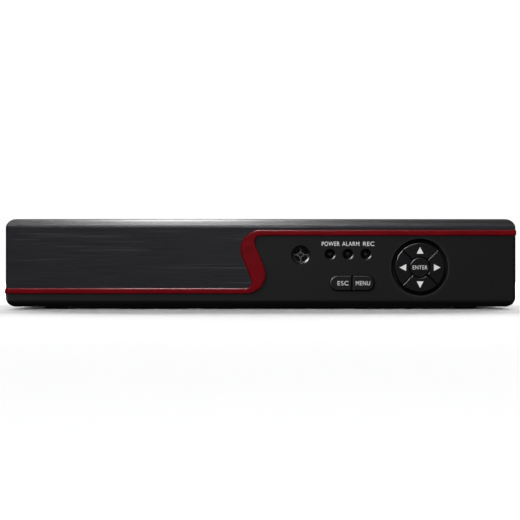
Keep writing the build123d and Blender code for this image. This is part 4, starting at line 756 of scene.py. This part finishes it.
MARKED_EDGE = 0.0023
ribbon_wires, tree, shader = finish_named(
    "grey ribbon cable",
    {"Base Color": linear("#8d8e90"), "Roughness": 0.48, "IOR": 1.5},
)
place = add_node(tree, "ShaderNodeTexCoord")
ribs = add_node(
    tree,
    "ShaderNodeTexWave",
    {"wave_type": "BANDS", "bands_direction": "X", "Scale": 250.0, "Distortion": 0.0},
    {"Vector": place.outputs["Object"]},
)
tone = add_node(
    tree,
    "ShaderNodeValToRGB",
    {"stops": ((0.2, linear("#77787a")), (0.8, linear("#a2a3a5")))},
    {"Fac": ribs.outputs["Fac"]},
)
across = add_node(tree, "ShaderNodeSeparateXYZ", {}, {"Vector": place.outputs["Object"]})
edge = add_node(
    tree,
    "ShaderNodeMath",
    {"operation": "LESS_THAN", 1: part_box("ribbon_cable")[0][0] + MARKED_EDGE},
    {0: across.outputs["X"]},
)
marked = add_node(
    tree,
    "ShaderNodeMix",
    {"data_type": "RGBA", 7: linear("#9c1f1a")},
    {0: edge.outputs[0], 6: tone.outputs["Color"]},
)
tree.links.new(marked.outputs[2], shader.inputs["Base Color"])
paint(ribbon_wires, "ribbon_cable")


# The switch plungers: moulded natural acetal, waxy and off-white. There is one behind each key,
# and it goes in with the key.
acetal, tree, shader = finish_named(
    "natural acetal",
    {"Base Color": linear("#d5d2c8"), "Roughness": 0.38, "IOR": 1.48},
)
grain(tree, shader, 0.8, 0.006)
plungers = [key.replace("_key", "_stem") for key in (*quarter_keys, "esc_key", "menu_key", "enter_key")]
paint(acetal, *plungers)


# The room: a pale matt floor that bounces no light into the front, a white background, and a dim
# surround that keeps the blacks black.
HALF_FLOOR = 1.3
form = bmesh.new()
bmesh.ops.create_grid(form, x_segments=1, y_segments=1, size=HALF_FLOOR)
floor_mesh = bpy.data.meshes.new("floor")
form.to_mesh(floor_mesh)
form.free()
floor = bpy.data.objects.new("floor", floor_mesh)
bpy.context.scene.collection.objects.link(floor)
pale_floor, tree, shader = finish_named(
    "pale matt floor", {"Base Color": linear("#fbfbfb"), "Roughness": 1.0, "Specular IOR Level": 0.0}
)
floor_mesh.materials.append(pale_floor)
floor.visible_glossy = False
floor.visible_diffuse = False

world = bpy.data.worlds.new("studio")
bpy.context.scene.world = world
world.use_nodes = True
tree = world.node_tree
tree.nodes.clear()
rays = add_node(tree, "ShaderNodeLightPath")
surround = add_node(tree, "ShaderNodeBackground", {"Color": (0.95, 0.97, 1.0, 1), "Strength": 0.05})
backdrop = add_node(tree, "ShaderNodeBackground", {"Color": (1, 1, 1, 1), "Strength": 1.05})
mixed = add_node(
    tree,
    "ShaderNodeMixShader",
    {},
    {0: rays.outputs["Is Camera Ray"], 1: surround.outputs[0], 2: backdrop.outputs[0]},
)
add_node(tree, "ShaderNodeOutputWorld", {}, {"Surface": mixed.outputs[0]})


# The lights: wide softboxes overhead and behind, and a soft fill in front. The fill and the light
# behind don't show in gloss, and three cards show only there, as bright lines along the edges.
def softbox(name, place, target, width, height, watts):
    """A rectangular studio light, its size in metres, that looks at a point."""
    light = bpy.data.lights.new(name, "AREA")
    light.shape = "RECTANGLE"
    light.size = width
    light.size_y = height
    light.energy = watts
    lamp = bpy.data.objects.new(name, light)
    lamp.location = place
    lamp.rotation_euler = (Vector(target) - Vector(place)).to_track_quat("-Z", "Y").to_euler()
    bpy.context.scene.collection.objects.link(lamp)
    return lamp


def only_on(lamp, *names):
    """Keeps a light to some CAD nodes."""
    lit = bpy.data.collections.new("lit by " + lamp.name)
    for name in names:
        lit.objects.link(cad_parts[name])
    lamp.light_linking.receiver_collection = lit


softbox("overhead softbox", (-0.1, 0.75, 1.4), (0, 0.0, 0), 2.4, 1.2, 5)
back_light = softbox("back softbox", (0.0, 1.7, 0.55), (0, 0.0, 0), 3.0, 1.0, 165)
back_light.visible_camera = False
back_light.visible_glossy = False
front_fill = softbox("front fill", (0.1, -2.5, 0.9), (0, 0.0, 0.03), 1.5, 1.5, 46)
front_fill.visible_glossy = False

# the hot spot on the top edge is left of the middle, so the cards that make it are too
HOT_SPOT = -0.077
front_card = softbox(
    "front reflection card", (HOT_SPOT, -0.75, 0.5), (HOT_SPOT, -0.11, 0.05), 0.14, 0.6, 2
)
front_card.visible_diffuse = False
top_card = softbox(
    "top reflection card", (HOT_SPOT, -0.35, 0.75), (HOT_SPOT, -0.3501, 0.05), 0.12, 1.6, 17
)
top_card.visible_diffuse = False
left_card = softbox(
    "upper left reflection card", (-0.85, -0.16, 0.85), (0.05, -0.11, 0.03), 0.75, 0.75, 240
)
left_card.visible_diffuse = False
only_on(left_card, "front_bezel", "window_shield", "enter_key", "esc_key", "menu_key", *quarter_keys)

# at each side, a softbox that lights the steel case and a card that its screws reflect
CASE_MIDDLE = (0, 0.05, 0.02)
for side in (-1, 1):
    at = (1.3 * side, 0.35, 0.5)
    side_light = softbox(f"side softbox {side}", at, CASE_MIDDLE, 1.2, 0.8, 100)
    side_light.visible_camera = False
    side_light.visible_glossy = False
    only_on(side_light, "top_cover", "bottom_tray")
    side_card = softbox(f"side card {side}", at, CASE_MIDDLE, 1.2, 0.8, 30)
    side_card.visible_camera = False
    only_on(side_card, "cover_screws")


# The camera: a long lens, level and square to the front, a little above its middle. Its distance
# is from the face of the front, in metres.
LEFT_OF_MIDDLE, DISTANCE, EYE_HEIGHT = 0.00035, 1.2, 0.0289
camera_data = bpy.data.cameras.new("camera")
camera_data.lens = 141.8
camera_data.sensor_width = 36.0
camera_data.clip_start = 0.05
camera_data.clip_end = 50.0
camera = bpy.data.objects.new("camera", camera_data)
camera.location = (-LEFT_OF_MIDDLE, panel_face - DISTANCE, EYE_HEIGHT)
camera.rotation_euler = (math.radians(90), 0, 0)
bpy.context.scene.collection.objects.link(camera)
bpy.context.scene.camera = camera
bpy.context.scene.view_settings.view_transform = "Standard"
